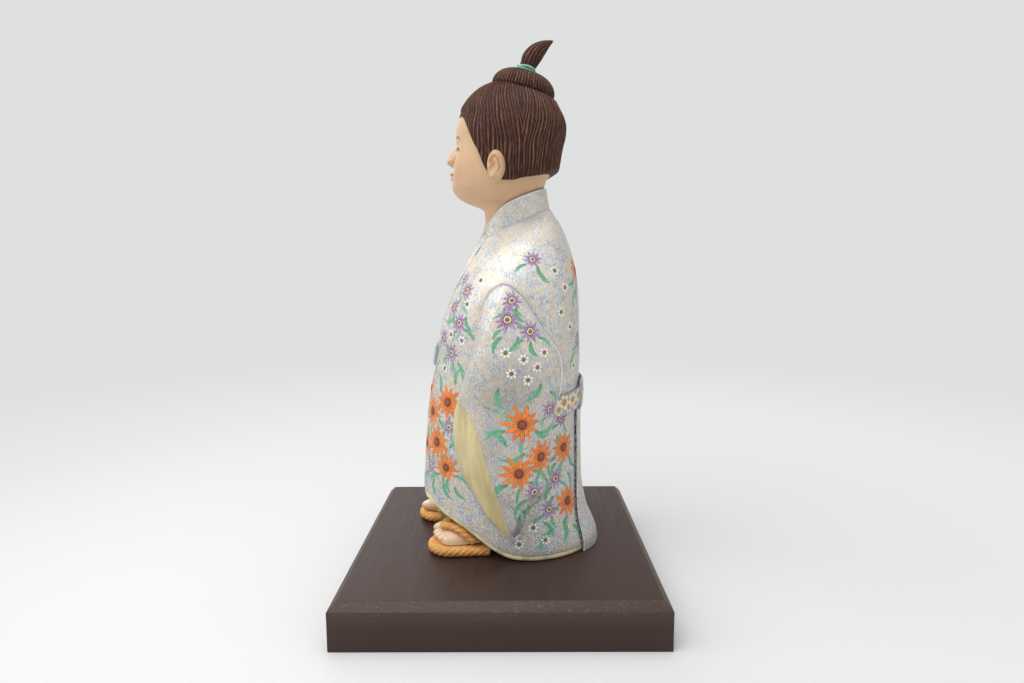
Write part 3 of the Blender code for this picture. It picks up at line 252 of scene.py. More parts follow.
# Turn from the front and height of the collar's top edge above its foot
COLLAR_RISE_SHARES = (
    (0, 0.02), (20, 0.12), (35, 0.34), (50, 0.60), (70, 0.84), (90, 0.99), (120, 1.05), (150, 1.06),
    (180, 1.03),
)
# Steps of one front band: inner edge turn and height, outer edge turn and height
FRONT_BAND_SHARES = (
    (-21, 0.645, -5, 0.645), (-19, 0.71, -2.5, 0.70), (-16.5, 0.785, 0.5, 0.76), (-12, 0.865, 6, 0.825),
    (-6, 0.94, 14, 0.885),
)
# Bun: place along its side, radius and height
BUN_SHARES = (
    (0, 0.94, 0), (0.12, 1.0, 0.17), (0.28, 0.985, 0.40), (0.46, 0.90, 0.64), (0.64, 0.74, 0.85),
    (0.8, 0.55, 0.965), (0.9, 0.40, 1.0), (1, 0.30, 1.0),
)
# Tuft: place along it, backward reach, height, half depth and half thickness
TUFT_SHARES = (
    (0, 0.0, -0.16, 0.80, 0.80), (0.1, 0.02, 0.0, 0.82, 0.80), (0.16, 0.046, 0.08, 0.89, 0.82),
    (0.33, 0.12, 0.29, 1.0, 0.88), (0.5, 0.28, 0.50, 0.93, 0.82), (0.67, 0.50, 0.69, 0.72, 0.66),
    (0.83, 0.74, 0.85, 0.40, 0.42), (0.95, 0.93, 0.955, 0.14, 0.20), (1, 1.0, 1.0, 0.0, 0.0),
)
# Foot: place along it from the toes, half width and height
FOOT_SHARES = (
    (0, 0.62, 0.45), (0.12, 0.90, 0.72), (0.30, 1.0, 0.92), (0.5, 0.94, 0.98), (0.72, 0.80, 0.86),
    (1, 0.68, 0.34),
)
# Toes from the inner to the outer side: place across, setback, radius
TOE_SHARES = (
    (-0.66, 0.0, 0.36), (-0.20, 0.04, 0.24), (0.16, 0.16, 0.22), (0.46, 0.36, 0.20), (0.72, 0.64, 0.19),
)
# Thong: place from back to toes, and angle over the foot
THONG_SHARES = ((0.0, 8), (0.16, 24), (0.38, 44), (0.62, 62), (0.84, 78), (1.0, 90))

# Painted flowers on a sleeve: place across from its front ridge, height, kind, width, turn
SLEEVE_FLOWERS = (
    (0.34, 0.735, "aster", 12.5, 10), (0.70, 0.70, "aster", 11.5, 40), (0.52, 0.785, "aster", 10.5, 25),
    (0.30, 0.645, "daisy", 4.8, 0), (0.47, 0.625, "daisy", 4.8, 20), (0.62, 0.60, "daisy", 4.6, 5),
    (0.37, 0.585, "daisy", 4.6, 12), (0.74, 0.64, "daisy", 4.8, 33), (0.53, 0.565, "daisy", 4.8, 28),
    (0.50, 0.435, "marigold", 22, 8), (0.36, 0.295, "marigold", 21, 20), (0.74, 0.335, "marigold", 20, 2),
    (0.62, 0.235, "aster", 10.5, 15), (0.87, 0.47, "aster", 10, 0),
)
SLEEVE_LEAVES = (
    (0.47, 0.69, 10, -120), (0.62, 0.675, 9, -60), (0.42, 0.76, 8, -30), (0.25, 0.69, 9, -110),
    (0.30, 0.545, 13, -75), (0.68, 0.555, 12, -130), (0.24, 0.49, 15, -62), (0.80, 0.525, 10, -50),
    (0.29, 0.375, 14, 150), (0.68, 0.405, 13, 20), (0.49, 0.355, 12, 195), (0.55, 0.30, 12, -35),
    (0.45, 0.215, 13, -100), (0.68, 0.195, 9, -60), (0.82, 0.27, 10, -75), (0.56, 0.185, 8, -105),
)
# Painted flowers on the robe: turn from the front, height, kind, width, turn of the flower
ROBE_FLOWERS = (
    (30, 0.875, "aster", 9.5, 0), (44, 0.83, "aster", 10.5, 20), (30, 0.775, "aster", 10, 12),
    (46, 0.72, "aster", 10.5, 32), (26, 0.665, "aster", 9.5, 5), (41, 0.625, "aster", 10.5, 24),
    (50, 0.785, "daisy", 4.6, 0), (38, 0.68, "daisy", 4.6, 16), (52, 0.665, "daisy", 4.4, 8),
    (22, 0.72, "daisy", 4.4, 30), (34, 0.575, "daisy", 4.6, 5), (60, 0.86, "daisy", 4.6, 22),
    (44, 0.475, "marigold", 21, 6), (24, 0.435, "marigold", 21, 22), (8, 0.50, "marigold", 20, 10),
    (34, 0.345, "marigold", 22, 16), (14, 0.325, "marigold", 21, 3), (47, 0.40, "aster", 9.5, 10),
    (2, 0.41, "aster", 10, 20), (27, 0.255, "aster", 10, 0), (46, 0.27, "marigold", 19, 28),
    (136, 0.335, "marigold", 20, 12), (126, 0.245, "aster", 10.5, 4), (139, 0.165, "marigold", 21, 24),
    (118, 0.155, "aster", 10, 30), (133, 0.425, "aster", 9.5, 14), (104, 0.105, "daisy", 4.8, 0),
    (112, 0.065, "daisy", 4.6, 18), (94, 0.055, "daisy", 4.6, 9),
    (108, 0.885, "aster", 9.5, 7), (128, 0.845, "daisy", 4.8, 0), (138, 0.80, "daisy", 4.8, 22),
    (132, 0.74, "daisy", 4.6, 12), (144, 0.70, "daisy", 4.6, 3), (166, 0.835, "marigold", 20, 9),
    (182, 0.735, "marigold", 21, 25), (160, 0.655, "aster", 10.5, 11), (196, 0.625, "aster", 10, 0),
    (178, 0.575, "daisy", 4.8, 18), (150, 0.58, "daisy", 4.6, 6), (204, 0.82, "aster", 10, 30),
    (-28, 0.42, "marigold", 21, 12), (-44, 0.34, "marigold", 21, 0), (-24, 0.30, "marigold", 20, 24),
    (-42, 0.50, "aster", 10, 9), (-34, 0.60, "aster", 10.5, 14), (-46, 0.71, "aster", 10.5, 0),
    (-34, 0.78, "aster", 10, 21), (-44, 0.86, "aster", 9.5, 8), (-52, 0.65, "daisy", 4.6, 5),
    (-28, 0.68, "daisy", 4.6, 10), (-38, 0.235, "aster", 10, 6),
    (-136, 0.335, "marigold", 20, 12), (-126, 0.235, "aster", 10.5, 4), (-138, 0.165, "marigold", 21, 24),
    (-116, 0.155, "aster", 10, 30), (-133, 0.425, "aster", 9.5, 14), (-106, 0.885, "aster", 9.5, 7),
    (-128, 0.845, "daisy", 4.8, 0), (-138, 0.80, "daisy", 4.8, 22), (-140, 0.72, "marigold", 20, 9),
)
ROBE_LEAVES = (
    (37, 0.85, 9, -30), (36, 0.745, 10, -150), (52, 0.745, 9, -60), (20, 0.64, 9, -110), (34, 0.65, 9, -40),
    (49, 0.60, 10, -70), (35, 0.60, 8, -120), (33, 0.50, 11, 110), (50, 0.53, 10, 70), (16, 0.545, 10, 60),
    (12, 0.385, 10, -60), (37, 0.275, 12, -70), (22, 0.225, 13, -110), (33, 0.205, 11, -80),
    (44, 0.205, 11, -55), (15, 0.225, 10, -130), (48, 0.335, 10, 20), (54, 0.20, 9, -40), (5, 0.26, 11, -95),
    (127, 0.295, 11, -115), (141, 0.255, 12, -80), (131, 0.115, 12, -100), (120, 0.095, 13, -125),
    (140, 0.09, 12, -70), (112, 0.12, 10, -60), (124, 0.195, 9, -110), (128, 0.38, 10, -100),
    (112, 0.855, 9, -50), (158, 0.79, 11, -120), (174, 0.785, 11, -50), (172, 0.68, 12, -110),
    (192, 0.685, 12, -60), (168, 0.625, 9, -60), (152, 0.62, 9, -120), (188, 0.60, 9, -130),
    (-20, 0.36, 11, -60), (-36, 0.275, 12, -110), (-48, 0.27, 11, -70), (-30, 0.225, 11, -95),
    (-36, 0.47, 10, 60), (-40, 0.66, 9, -120), (-28, 0.73, 9, -60), (-38, 0.74, 9, -30),
    (-127, 0.295, 11, -65), (-141, 0.255, 12, -100), (-131, 0.115, 12, -80), (-120, 0.095, 13, -55),
    (-140, 0.09, 12, -110), (-110, 0.855, 9, -130), (-132, 0.67, 11, -60),
)
# Raised ornament on the sash: turn from the front, place across its width, kind, width, turn
SASH_ORNAMENT = tuple(
    (98 + 6.0 * step, 0.30 * math.cos(step * math.pi), "brocade", 9.4 - 2.0 * (step % 2), 18 * step)
    for step in range(28)
)
KNOT_ORNAMENT = (
    (-0.55, 0.1, "brocade", 7.5, 0), (0.0, 0.35, "brocade", 6.5, 20), (0.52, -0.05, "brocade", 7.5, 12),
    (-0.05, -0.45, "brocade", 6.0, 30), (-0.72, -0.62, "brocade", 4.5, 8), (0.74, 0.62, "brocade", 4.5, 3),
)

# Camera found from the board's edges in the photograph
CAMERA_PLACE = (0.403409, 0.008556, 0.202408)
CAMERA_PITCH = 0.126012
CAMERA_YAW = 0.0050509
CAMERA_ROLL = -0.0051104
CAMERA_LENS = 22.784
CAMERA_SENSOR = 36.0
LAMP_AIM = (0, 0, 0.16)
# Name, place, size and power of each lamp
LAMPS = (
    ("key", (0.75, -0.45, 1.3), 1.1, 11.4), ("front", (0.2, -1.15, 0.8), 0.9, 4.9),
    ("top", (-0.1, 0.1, 1.7), 1.2, 9.0), ("back", (0.8, 1.0, 0.7), 1.2, 3.0),
    ("far_side", (-1.0, -0.6, 0.9), 1.0, 3.5),
)


def tone(red, green, blue):
    """A linear colour from the values that a screen shows, 0 to 255."""
    def linear(value):
        share = value / 255
        return share / 12.92 if share <= 0.04045 else ((share + 0.055) / 1.055) ** 2.4
    return tuple(linear(value) for value in (red, green, blue))


def colour_of(label, text, shade):
    return bpy.props.FloatVectorProperty(name=label, description=text, subtype="COLOR", size=3, min=0.0,
                                         max=1.0, default=tone(*shade))


def length_of(label, text, value):
    return bpy.props.FloatProperty(name=label, description=text, default=value, min=0.0, unit="LENGTH",
                                   subtype="DISTANCE", precision=5)


class DollColours(bpy.types.PropertyGroup):
    robe: colour_of("Robe silver", "Silver ground of the robe", (238, 236, 230))
    robe_blue: colour_of("Robe blue", "Fine blue brushed over the silver", (138, 160, 180))
    robe_lavender: colour_of("Robe lavender", "Fine lavender brushed over the silver", (164, 152, 176))
    robe_gold: colour_of("Robe gold", "Soft gold clouds on the silver", (216, 182, 120))
    orange: colour_of("Orange petals", "Large orange flowers", (240, 128, 38))
    orange_vein: colour_of("Orange vein", "Middle line and outline of an orange petal", (168, 64, 26))
    orange_heart: colour_of("Orange heart", "Middle of a large orange flower", (150, 84, 58))
    violet: colour_of("Violet petals", "Violet flowers", (170, 126, 176))
    violet_vein: colour_of("Violet vein", "Outline of a violet petal", (104, 62, 118))
    cream: colour_of("Cream ring", "Ring in a violet flower", (246, 230, 182))
    white: colour_of("White petals", "Small white flowers", (250, 249, 243))
    olive: colour_of("Olive heart", "Middle of the small flowers", (146, 112, 48))
    leaf: colour_of("Leaves", "Green leaves", (98, 176, 136))
    leaf_edge: colour_of("Leaf edge", "Edge and vein of a leaf", (52, 128, 96))
    lining: colour_of("Sleeve lining", "Cream lining of the sleeves", (224, 208, 158))
    hem: colour_of("Hem lining", "Cream lining at the hem", (236, 222, 180))
    inner: colour_of("Inner robe", "Olive inner robe", (154, 136, 92))
    brocade: colour_of("Sash", "Blue grey ground of the sash", (148, 156, 172))
    relief: colour_of("Sash relief", "Raised cream and gold on the sash", (240, 230, 202))
    skin: colour_of("Skin", "Painted skin", (214, 178, 140))
    # The feet take a lighter copy of the skin colour: painted light on feet that lie in shade.
    foot: colour_of("Foot", "Lighter painted skin of the feet", (234, 202, 164))
    blush_and_crease_shade: colour_of("Blush", "Warm shade in the folds of the skin", (184, 122, 88))
    lips: colour_of("Lips", "Painted lips", (168, 116, 102))
    line: colour_of("Face line", "Painted brows and eyes", (68, 46, 36))
    hair_groove: colour_of("Hair groove", "Dark bottom of the carved hair", (46, 25, 19))
    hair: colour_of("Hair", "Middle tone of the carved hair", (76, 46, 37))
    hair_ridge: colour_of("Hair ridge", "Worn light ridges of the hair", (150, 108, 84))
    cord: colour_of("Cord", "Mint green hair cord", (142, 214, 178))
    straw: colour_of("Straw", "Ochre straw of the sandals", (244, 177, 93))
    straw_cut: colour_of("Straw cut", "Dark cuts in the straw rope", (92, 52, 28))
    board: colour_of("Board", "Dark lacquer of the board", (64, 47, 41))
    board_edge: colour_of("Board edge", "Worn slope round the board's top", (76, 60, 53))


class DollSizes(bpy.types.PropertyGroup):
    hair_pitch: length_of("Hair pitch", "Distance between the carved grooves of the hair", 1.95 * MM)
    hair_depth: length_of("Hair depth", "Depth of the carved grooves", 0.55 * MM)
    bun_pitch: length_of("Bun pitch", "Distance between the grooves at the bun's rim", 1.85 * MM)
    paint_height: length_of("Paint height", "Height of the painted petals above the robe", 0.12 * MM)
    rope_pitch: length_of("Rope pitch", "Distance between the cuts of the straw rope", 4 * MM)
    rope_cut: length_of("Rope cut", "Depth of the cuts of the straw rope", 0.4 * MM)
    speckle: length_of("Speckle", "Size of the fine colour speckle on the robe", 0.52 * MM)
    cloud: length_of("Cloud", "Size of the soft colour clouds on the robe", 13 * MM)


@functools.lru_cache(maxsize=None)
def curve_of(rows):
    """Places, values and even slopes of a table whose rows lie on a smooth curve."""
    table = np.asarray(rows, dtype=float)
    places, values = table[:, 0], table[:, 1:]
    rises = np.diff(values, axis=0) / np.diff(places)[:, None]
    slopes = np.vstack([rises[:1], (rises[:-1] + rises[1:]) / 2, rises[-1:]])
    least = np.minimum(np.abs(rises[:-1]), np.abs(rises[1:]))
    same = rises[:-1] * rises[1:] > 0
    slopes[1:-1] = np.where(same, np.sign(slopes[1:-1]) * np.minimum(np.abs(slopes[1:-1]), 3 * least), 0)
    return places, values, slopes


def row_at(rows, place):
    """The columns of a table at many places between its rows."""
    places, values, slopes = curve_of(rows)
    place = np.clip(np.asarray(place, dtype=float), places[0], places[-1])
    index = np.clip(np.searchsorted(places, place, side="right") - 1, 0, len(places) - 2)
    span = (places[index + 1] - places[index])[..., None]
    t = (place - places[index])[..., None] / span
    row = (values[index] * (1 + 2 * t) * (1 - t) ** 2 + slopes[index] * span * t * (1 - t) ** 2
           + values[index + 1] * t * t * (3 - 2 * t) + slopes[index + 1] * span * t * t * (t - 1))
    return np.moveaxis(row, -1, 0)


def rounded(value, power):
    return np.copysign(np.abs(value) ** (2 / power), value)


def eased(value):
    """A smooth step from 0 to 1."""
    share = np.clip(value, 0, 1)
    return share * share * (3 - 2 * share)


def bump(value, width):
    return np.exp(-(value / width) ** 2)


def run_of(line):
    """How far along a line each of its points is."""
    return np.concatenate([[0], np.cumsum(np.linalg.norm(np.diff(line, axis=0), axis=1))])


def stacked(x, y, z):
    return np.stack(np.broadcast_arrays(x, y, z), axis=-1)


def columns(count):
    return np.linspace(0, 1, count + 1)[None, :]


def rows_of(count):
    return np.linspace(0, 1, count + 1)[:, None]


def circle(count):
    """The turns of a whole circle, in one row."""
    return columns(count) * 2 * math.pi


def hem_lift(reach):
    return HEM_LIFT * row_at(HEM_SHARES, -reach / ROBE_FRONT)[0]


def robe_skin(turn, level):
    front, back, width, slope = row_at(ROBE_SHARES, level)
    across, along = np.sin(turn), -np.cos(turn)
    depth = np.where(along < 0, front * ROBE_FRONT, back * ROBE_BACK)
    reach = depth * rounded(along, ROBE_POWER)
    fade = np.maximum(0.0, 1 - level / HEM_REACH_SHARE) ** HEM_FADE_POWER
    return stacked(width * ROBE_HALF_WIDTH * rounded(across, ROBE_POWER), ROBE_AXIS_Y + reach,
                   level * ROBE_HEIGHT + slope * reach + hem_lift(reach) * fade)


def unit(vectors):
    return vectors / np.maximum(np.linalg.norm(vectors, axis=-1, keepdims=True), 1e-12)


def robe_point(turn, level, lift=0.0):
    """Points on the robe, or at a distance outside it."""
    turn, level, lift = np.broadcast_arrays(turn, level, lift)
    low, high = np.maximum(0.0, level - SURFACE_STEP), np.minimum(1.0, level + SURFACE_STEP)
    across = robe_skin(turn + SURFACE_STEP, level) - robe_skin(turn - SURFACE_STEP, level)
    upward = robe_skin(turn, high) - robe_skin(turn, low)
    return robe_skin(turn, level) + unit(np.cross(across, upward)) * lift[..., None]


def front_step(turn, level):
    """The left front lies over the right one, so it stands out a little."""
    away = turn_away(turn)
    edge = (-21 - 9 * (1 - level / FRONT_BAND_SHARES[0][1])) * DEGREE
    over = eased((away - edge) / (0.9 * DEGREE)) * (1 - eased((away - edge) / (70 * DEGREE)))
    return FRONT_STEP * over * (1 - eased((level - 0.93) / 0.05))


def robe_face(turn, level, lift=0.0):
    return robe_point(turn, level, lift + front_step(turn, level))


def hem_level(turn, rise):
    """The level at a small height above the hem."""
    reach = robe_skin(turn, 0.0)[..., 1] - ROBE_AXIS_Y
    lost = HEM_FADE_POWER * hem_lift(reach) / HEM_REACH_SHARE
    return rise / (ROBE_HEIGHT - lost)


def sash_middle(turn):
    return row_at(SASH_SHARES, np.abs(turn_away(turn)) / DEGREE)[0]


def turn_away(turn):
    """A turn as an angle from the front, left positive."""
    return np.remainder(np.asarray(turn, dtype=float) + math.pi, 2 * math.pi) - math.pi


def head_relief(x, height):
    """The profile of the nose and the lips."""
    rise = height - NOSE_RISE
    nose = NOSE_LENGTH * bump(x, NOSE_HALF_WIDTH)
    for side, (reach, power) in ((1, NOSE_BRIDGE), (-1, NOSE_UNDER)):
        nose = nose * np.exp(-(np.maximum(side * rise, 0) / reach) ** power)
    lips = 0.0
    for share in LIP_LEVELS:
        lips = lips + bump(x, HEAD_HALF_WIDTH / 6) * bump(height - HEAD_HEIGHT * share, HEAD_HEIGHT * 0.0165)
    return nose + LIP_RISE * lips


def face_detail(x, height):
    """Small forms of the face beside its profile: wings of the nose, lids, sockets, cheeks and mouth."""
    side = np.abs(x)
    return sum(out * bump(side - place * MM, reach * MM)
               * bump(height - (level * MM + slope * side), rise * MM)
               for out, place, reach, level, rise, slope in FACE_FORMS) * MM


def head_skin(turn, level, grow=0.0):
    front, back, width, slope = row_at(HEAD_SHARES, level)
    across, along = np.sin(turn), -np.cos(turn)
    depth = np.where(along < 0, front * HEAD_FRONT, back * HEAD_BACK) + grow
    reach = depth * rounded(along, HEAD_POWER)
    return stacked((width * HEAD_HALF_WIDTH + grow) * rounded(across, HEAD_POWER), ROBE_AXIS_Y + reach,
                   NECK_Z + level * HEAD_HEIGHT + slope * reach)


def head_face(turn, level):
    """Points on the head with the nose, the lips and the small forms of the face."""
    point = head_skin(turn, level)
    height = point[..., 2] - NECK_Z
    relief = head_relief(point[..., 0], height) + face_detail(point[..., 0], height)
    point[..., 1] -= np.where(np.cos(turn) > 0.3, relief, 0.0)
    return point


def head_level(turn, z):
    """The level where the head's surface passes a height."""
    level = (z - NECK_Z) / HEAD_HEIGHT + np.zeros_like(turn)
    for _ in range(12):
        level = level + (z - head_skin(turn, level)[..., 2]) / HEAD_HEIGHT
    return level


def bun_plane(y):
    return BUN_SEAT_Z + BUN_SLOPE * (y - ROBE_AXIS_Y)


def hair_skin(turn, z):
    front, back, width = row_at(HAIR_SHARES, (z - HAIR_FOOT_Z) / HAIR_HEIGHT)
    across, along = np.sin(turn), -np.cos(turn)
    depth = np.where(along < 0, front * HAIR_FRONT, back * HAIR_BACK)
    return stacked(width * HAIR_HALF_WIDTH * rounded(across, HEAD_POWER),
                   ROBE_AXIS_Y + depth * rounded(along, HEAD_POWER), z)


def hair_top(turn):
    """Height where the hair meets the flat seat of the bun."""
    z = np.full_like(turn, BUN_SEAT_Z)
    for _ in range(14):
        z = bun_plane(hair_skin(turn, z)[..., 1])
    return z


def hairline(turn):
    return HAIR_FOOT_Z + HAIR_HEIGHT * row_at(HAIRLINE_SHARES, np.abs(turn_away(turn)) / DEGREE)[0]


def lay(bm, points, **marks):
    """Adds a grid laid on rows and columns of points, and welds its seams and its folded ends."""
    rows, across = points.shape[:2]
    for name in marks:
        if bm.verts.layers.float.get(name) is None:
            bm.verts.layers.float.new(name)
    verts = bmesh.ops.create_grid(bm, x_segments=across - 1, y_segments=rows - 1, size=1.0)["verts"]
    flat = np.array([vert.co[:2] for vert in verts])
    column = np.rint((flat[:, 0] + 1) / 2 * (across - 1)).astype(int)
    row = np.rint((flat[:, 1] + 1) / 2 * (rows - 1)).astype(int)
    layers = []
    for name, values in marks.items():
        layer = bm.verts.layers.float[name]
        layers.append((layer, np.broadcast_to(values, (rows, across))[row, column].tolist()))
    places = points[row, column].tolist()
    for index, vert in enumerate(verts):
        vert.co = places[index]
        for layer, values in layers:
            vert[layer] = values[index]
    bmesh.ops.remove_doubles(bm, verts=verts, dist=WELD)
    return bm


def pushed(points, relief):
    """Rings of points moved out of their surface by a relief."""
    ring = points[:, :-1]
    across = np.roll(ring, -1, axis=1) - np.roll(ring, 1, axis=1)
    across = np.concatenate([across, across[:, :1]], axis=1)
    outward = unit(np.cross(across, np.gradient(points, axis=0)))
    middle = points.reshape(-1, 3).mean(axis=0)
    side = np.sign(((points - middle) * outward).sum())
    return points + outward * side * np.broadcast_to(relief, points.shape[:2])[..., None]


def worn(points, times):
    """Rings of points with their corners rounded off."""
    ring = points[:, :-1]
    for _ in range(times):
        ring = (np.roll(ring, 1, axis=1) + 2 * ring + np.roll(ring, -1, axis=1)) / 4
    return np.concatenate([ring, ring[:, :1]], axis=1)


def slab(inner, outer, wear=1):
    """Rings round a thick sheet between two alike sets of points, closed at both ends."""
    ring = np.concatenate([inner, outer[:, ::-1], inner[:, :1]], axis=1)
    ring = worn(ring, wear)
    count = ring.shape[1] - 1
    partner = ring[:, (count - 1 - np.arange(count + 1)) % count]
    middle = (ring + partner) / 2
    return np.concatenate([middle[:1], ring, middle[-1:]], axis=0)


def folded_shut(points):
    """Rings that are alike left and right, closed at both ends along the middle plane."""
    return np.concatenate([points[:1] * (0, 1, 1), points, points[-1:] * (0, 1, 1)], axis=0)


def ended(marks):
    """Marks on rows of points, with the first and the last row given twice."""
    return np.concatenate([marks[:1], marks, marks[-1:]], axis=0)


def tube_rings(line, outward, beside, angle, size):
    """Rings of points round a line."""
    ring = line[:, None] + outward[:, None] * (np.cos(angle) * size)[..., None]
    return ring + beside[:, None] * (np.sin(angle) * size)[..., None]


def moved(points, matrix):
    """Points carried by a 4 by 4 matrix."""
    table = np.array(matrix)
    return points @ table[:3, :3].T + table[:3, 3]


def mirrored(points):
    return points * np.array([-1.0, 1.0, 1.0])


def frame_piece(name, bm, material, nodes=(), body="figure", smooth=40, closed=True, raised=True):
    """Makes a finished object that rides on a body and may stand for CAD nodes."""
    if raised:
        bmesh.ops.translate(bm, verts=bm.verts, vec=(0, 0, BOARD_TOP))
    if closed:
        bmesh.ops.recalc_face_normals(bm, faces=bm.faces)
    else:
        bm.normal_update()
        inward = []
        for face in bm.faces:
            away = face.calc_center_median() - Vector((0, ROBE_AXIS_Y, 0))
            if face.normal.x * away.x + face.normal.y * away.y < 0:
                inward.append(face)
        bmesh.ops.reverse_faces(bm, faces=inward)
    mesh = bpy.data.meshes.new(name)
    bm.to_mesh(mesh)
    bm.free()
    mesh.shade_smooth()
    mesh.set_sharp_from_angle(angle=smooth * DEGREE)
    obj = bpy.data.objects.new(name, mesh)
    bpy.context.scene.collection.objects.link(obj)
    mesh.materials.append(material)
    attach(obj, body)
    if nodes:
        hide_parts(*nodes)
    return obj


def applied(obj):
    """Puts the result of an object's modifiers into its mesh."""
    graph = bpy.context.evaluated_depsgraph_get()
    mesh = bpy.data.meshes.new_from_object(obj.evaluated_get(graph))
    obj.modifiers.clear()
    obj.data = mesh
    return obj


def peg_holes(obj):
    """Cuts the two holes that take the pegs."""
    for x in (PEG_X, -PEG_X):
        bm = bmesh.new()
        height = PEG_RISE + 2 * GAP
        place = Matrix.Translation((x, PEG_Y, BOARD_TOP + PEG_RISE - height / 2))
        bmesh.ops.create_cone(bm, cap_ends=True, segments=48, radius1=PEG_RADIUS + GAP,
                              radius2=PEG_RADIUS + GAP, depth=height + 2 * GAP, matrix=place)
        mesh = bpy.data.meshes.new("hole")
        bm.to_mesh(mesh)
        bm.free()
        cutter = bpy.data.objects.new("hole", mesh)
        bpy.context.scene.collection.objects.link(cutter)
        modifier = obj.modifiers.new("hole", "BOOLEAN")
        modifier.operation = "DIFFERENCE"
        modifier.solver = "MANIFOLD"
        modifier.object = cutter
        applied(obj)
        bpy.data.objects.remove(cutter)


class Finish:
    """A material, with short ways to add its nodes."""

    def __init__(self, name, roughness, metallic=0.0, coat=0.0, gloss=0.5):
        self.material = bpy.data.materials.new(name)
        self.material.use_nodes = True
        self.tree = self.material.node_tree
        self.shader = self.tree.nodes["Principled BSDF"]
        self.shader.inputs["Roughness"].default_value = roughness
        self.shader.inputs["Metallic"].default_value = metallic
        self.shader.inputs["Coat Weight"].default_value = coat
        self.shader.inputs["Specular IOR Level"].default_value = gloss
        self.shader.inputs["Coat Roughness"].default_value = 0.25
        self.coords = self.tree.nodes.new("ShaderNodeTexCoord").outputs["Object"]

    def feed(self, socket, value):
        if isinstance(value, bpy.types.NodeSocket):
            self.tree.links.new(value, socket)
        elif isinstance(value, (int, float)):
            socket.default_value = value
        else:
            socket.default_value = (*value, 1.0)

    def place(self, stretch, turn):
        node = self.tree.nodes.new("ShaderNodeMapping")
        node.inputs["Scale"].default_value = stretch
        node.inputs["Rotation"].default_value = turn
        self.tree.links.new(self.coords, node.inputs["Vector"])
        return node.outputs["Vector"]

    def noise(self, size, detail, rough, stretch=(1, 1, 1), turn=(0, 0, 0), warp=0.0):
        node = self.tree.nodes.new("ShaderNodeTexNoise")
        self.tree.links.new(self.place(stretch, turn), node.inputs["Vector"])
        node.inputs["Scale"].default_value = 1 / size
        node.inputs["Detail"].default_value = detail
        node.inputs["Roughness"].default_value = rough
        node.inputs["Distortion"].default_value = warp
        return node.outputs["Fac"]

    def cells(self, size):
        node = self.tree.nodes.new("ShaderNodeTexVoronoi")
        self.tree.links.new(self.coords, node.inputs["Vector"])
        node.inputs["Scale"].default_value = 1 / size
        return node.outputs["Distance"]

    def level(self):
        """Height above the board's top."""
        node = self.tree.nodes.new("ShaderNodeSeparateXYZ")
        self.tree.links.new(self.coords, node.inputs["Vector"])
        return self.sum("SUBTRACT", node.outputs["Z"], BOARD_TOP)

    def mark(self, name):
        node = self.tree.nodes.new("ShaderNodeAttribute")
        node.attribute_name = name
        return node.outputs["Fac"]

    def sum(self, operation, first, second=0.0):
        node = self.tree.nodes.new("ShaderNodeMath")
        node.operation = operation
        self.feed(node.inputs[0], first)
        self.feed(node.inputs[1], second)
        return node.outputs["Value"]

    def times(self, first, second):
        return self.sum("MULTIPLY", first, second)

    def band(self, value, low, high, least=0.0, most=1.0):
        """Rises smoothly from least to most while a value goes from low to high."""
        node = self.tree.nodes.new("ShaderNodeMapRange")
        node.interpolation_type = "SMOOTHSTEP"
        self.feed(node.inputs["Value"], value)
        node.inputs["From Min"].default_value = low
        node.inputs["From Max"].default_value = high
        node.inputs["To Min"].default_value = least
        node.inputs["To Max"].default_value = most
        return node.outputs["Result"]

    def mix(self, share, first, second):
        node = self.tree.nodes.new("ShaderNodeMix")
        node.data_type = "RGBA"
        self.feed(node.inputs["Factor"], share)
        self.feed(node.inputs[6], first)
        self.feed(node.inputs[7], second)
        return node.outputs[2]

    def wash(self, ground, colour, value, low, high, most=1.0):
        """Brushes a colour over the ground, more of it while a value goes from low to high."""
        return self.mix(self.band(value, low, high, 0.0, most), ground, colour)

    def done(self, colour, relief=None, height=0.1 * MM, roughness=None):
        self.feed(self.shader.inputs["Base Color"], colour)
        if roughness is not None:
            self.feed(self.shader.inputs["Roughness"], roughness)
        if relief is not None:
            node = self.tree.nodes.new("ShaderNodeBump")
            node.inputs["Strength"].default_value = 1.0
            node.inputs["Distance"].default_value = height
            self.tree.links.new(relief, node.inputs["Height"])
            self.tree.links.new(node.outputs["Normal"], self.shader.inputs["Normal"])
        return self.material


def darker(colour, share):
    return tuple(value * share for value in colour)


def blended(first, second, share):
    return tuple(a + (b - a) * share for a, b in zip(first, second))


def paler(colour, share):
    return blended(colour, (1, 1, 1), share)


def hue(name):
    """One of the doll's colours."""
    return tuple(getattr(bpy.context.scene.doll_colours, name))


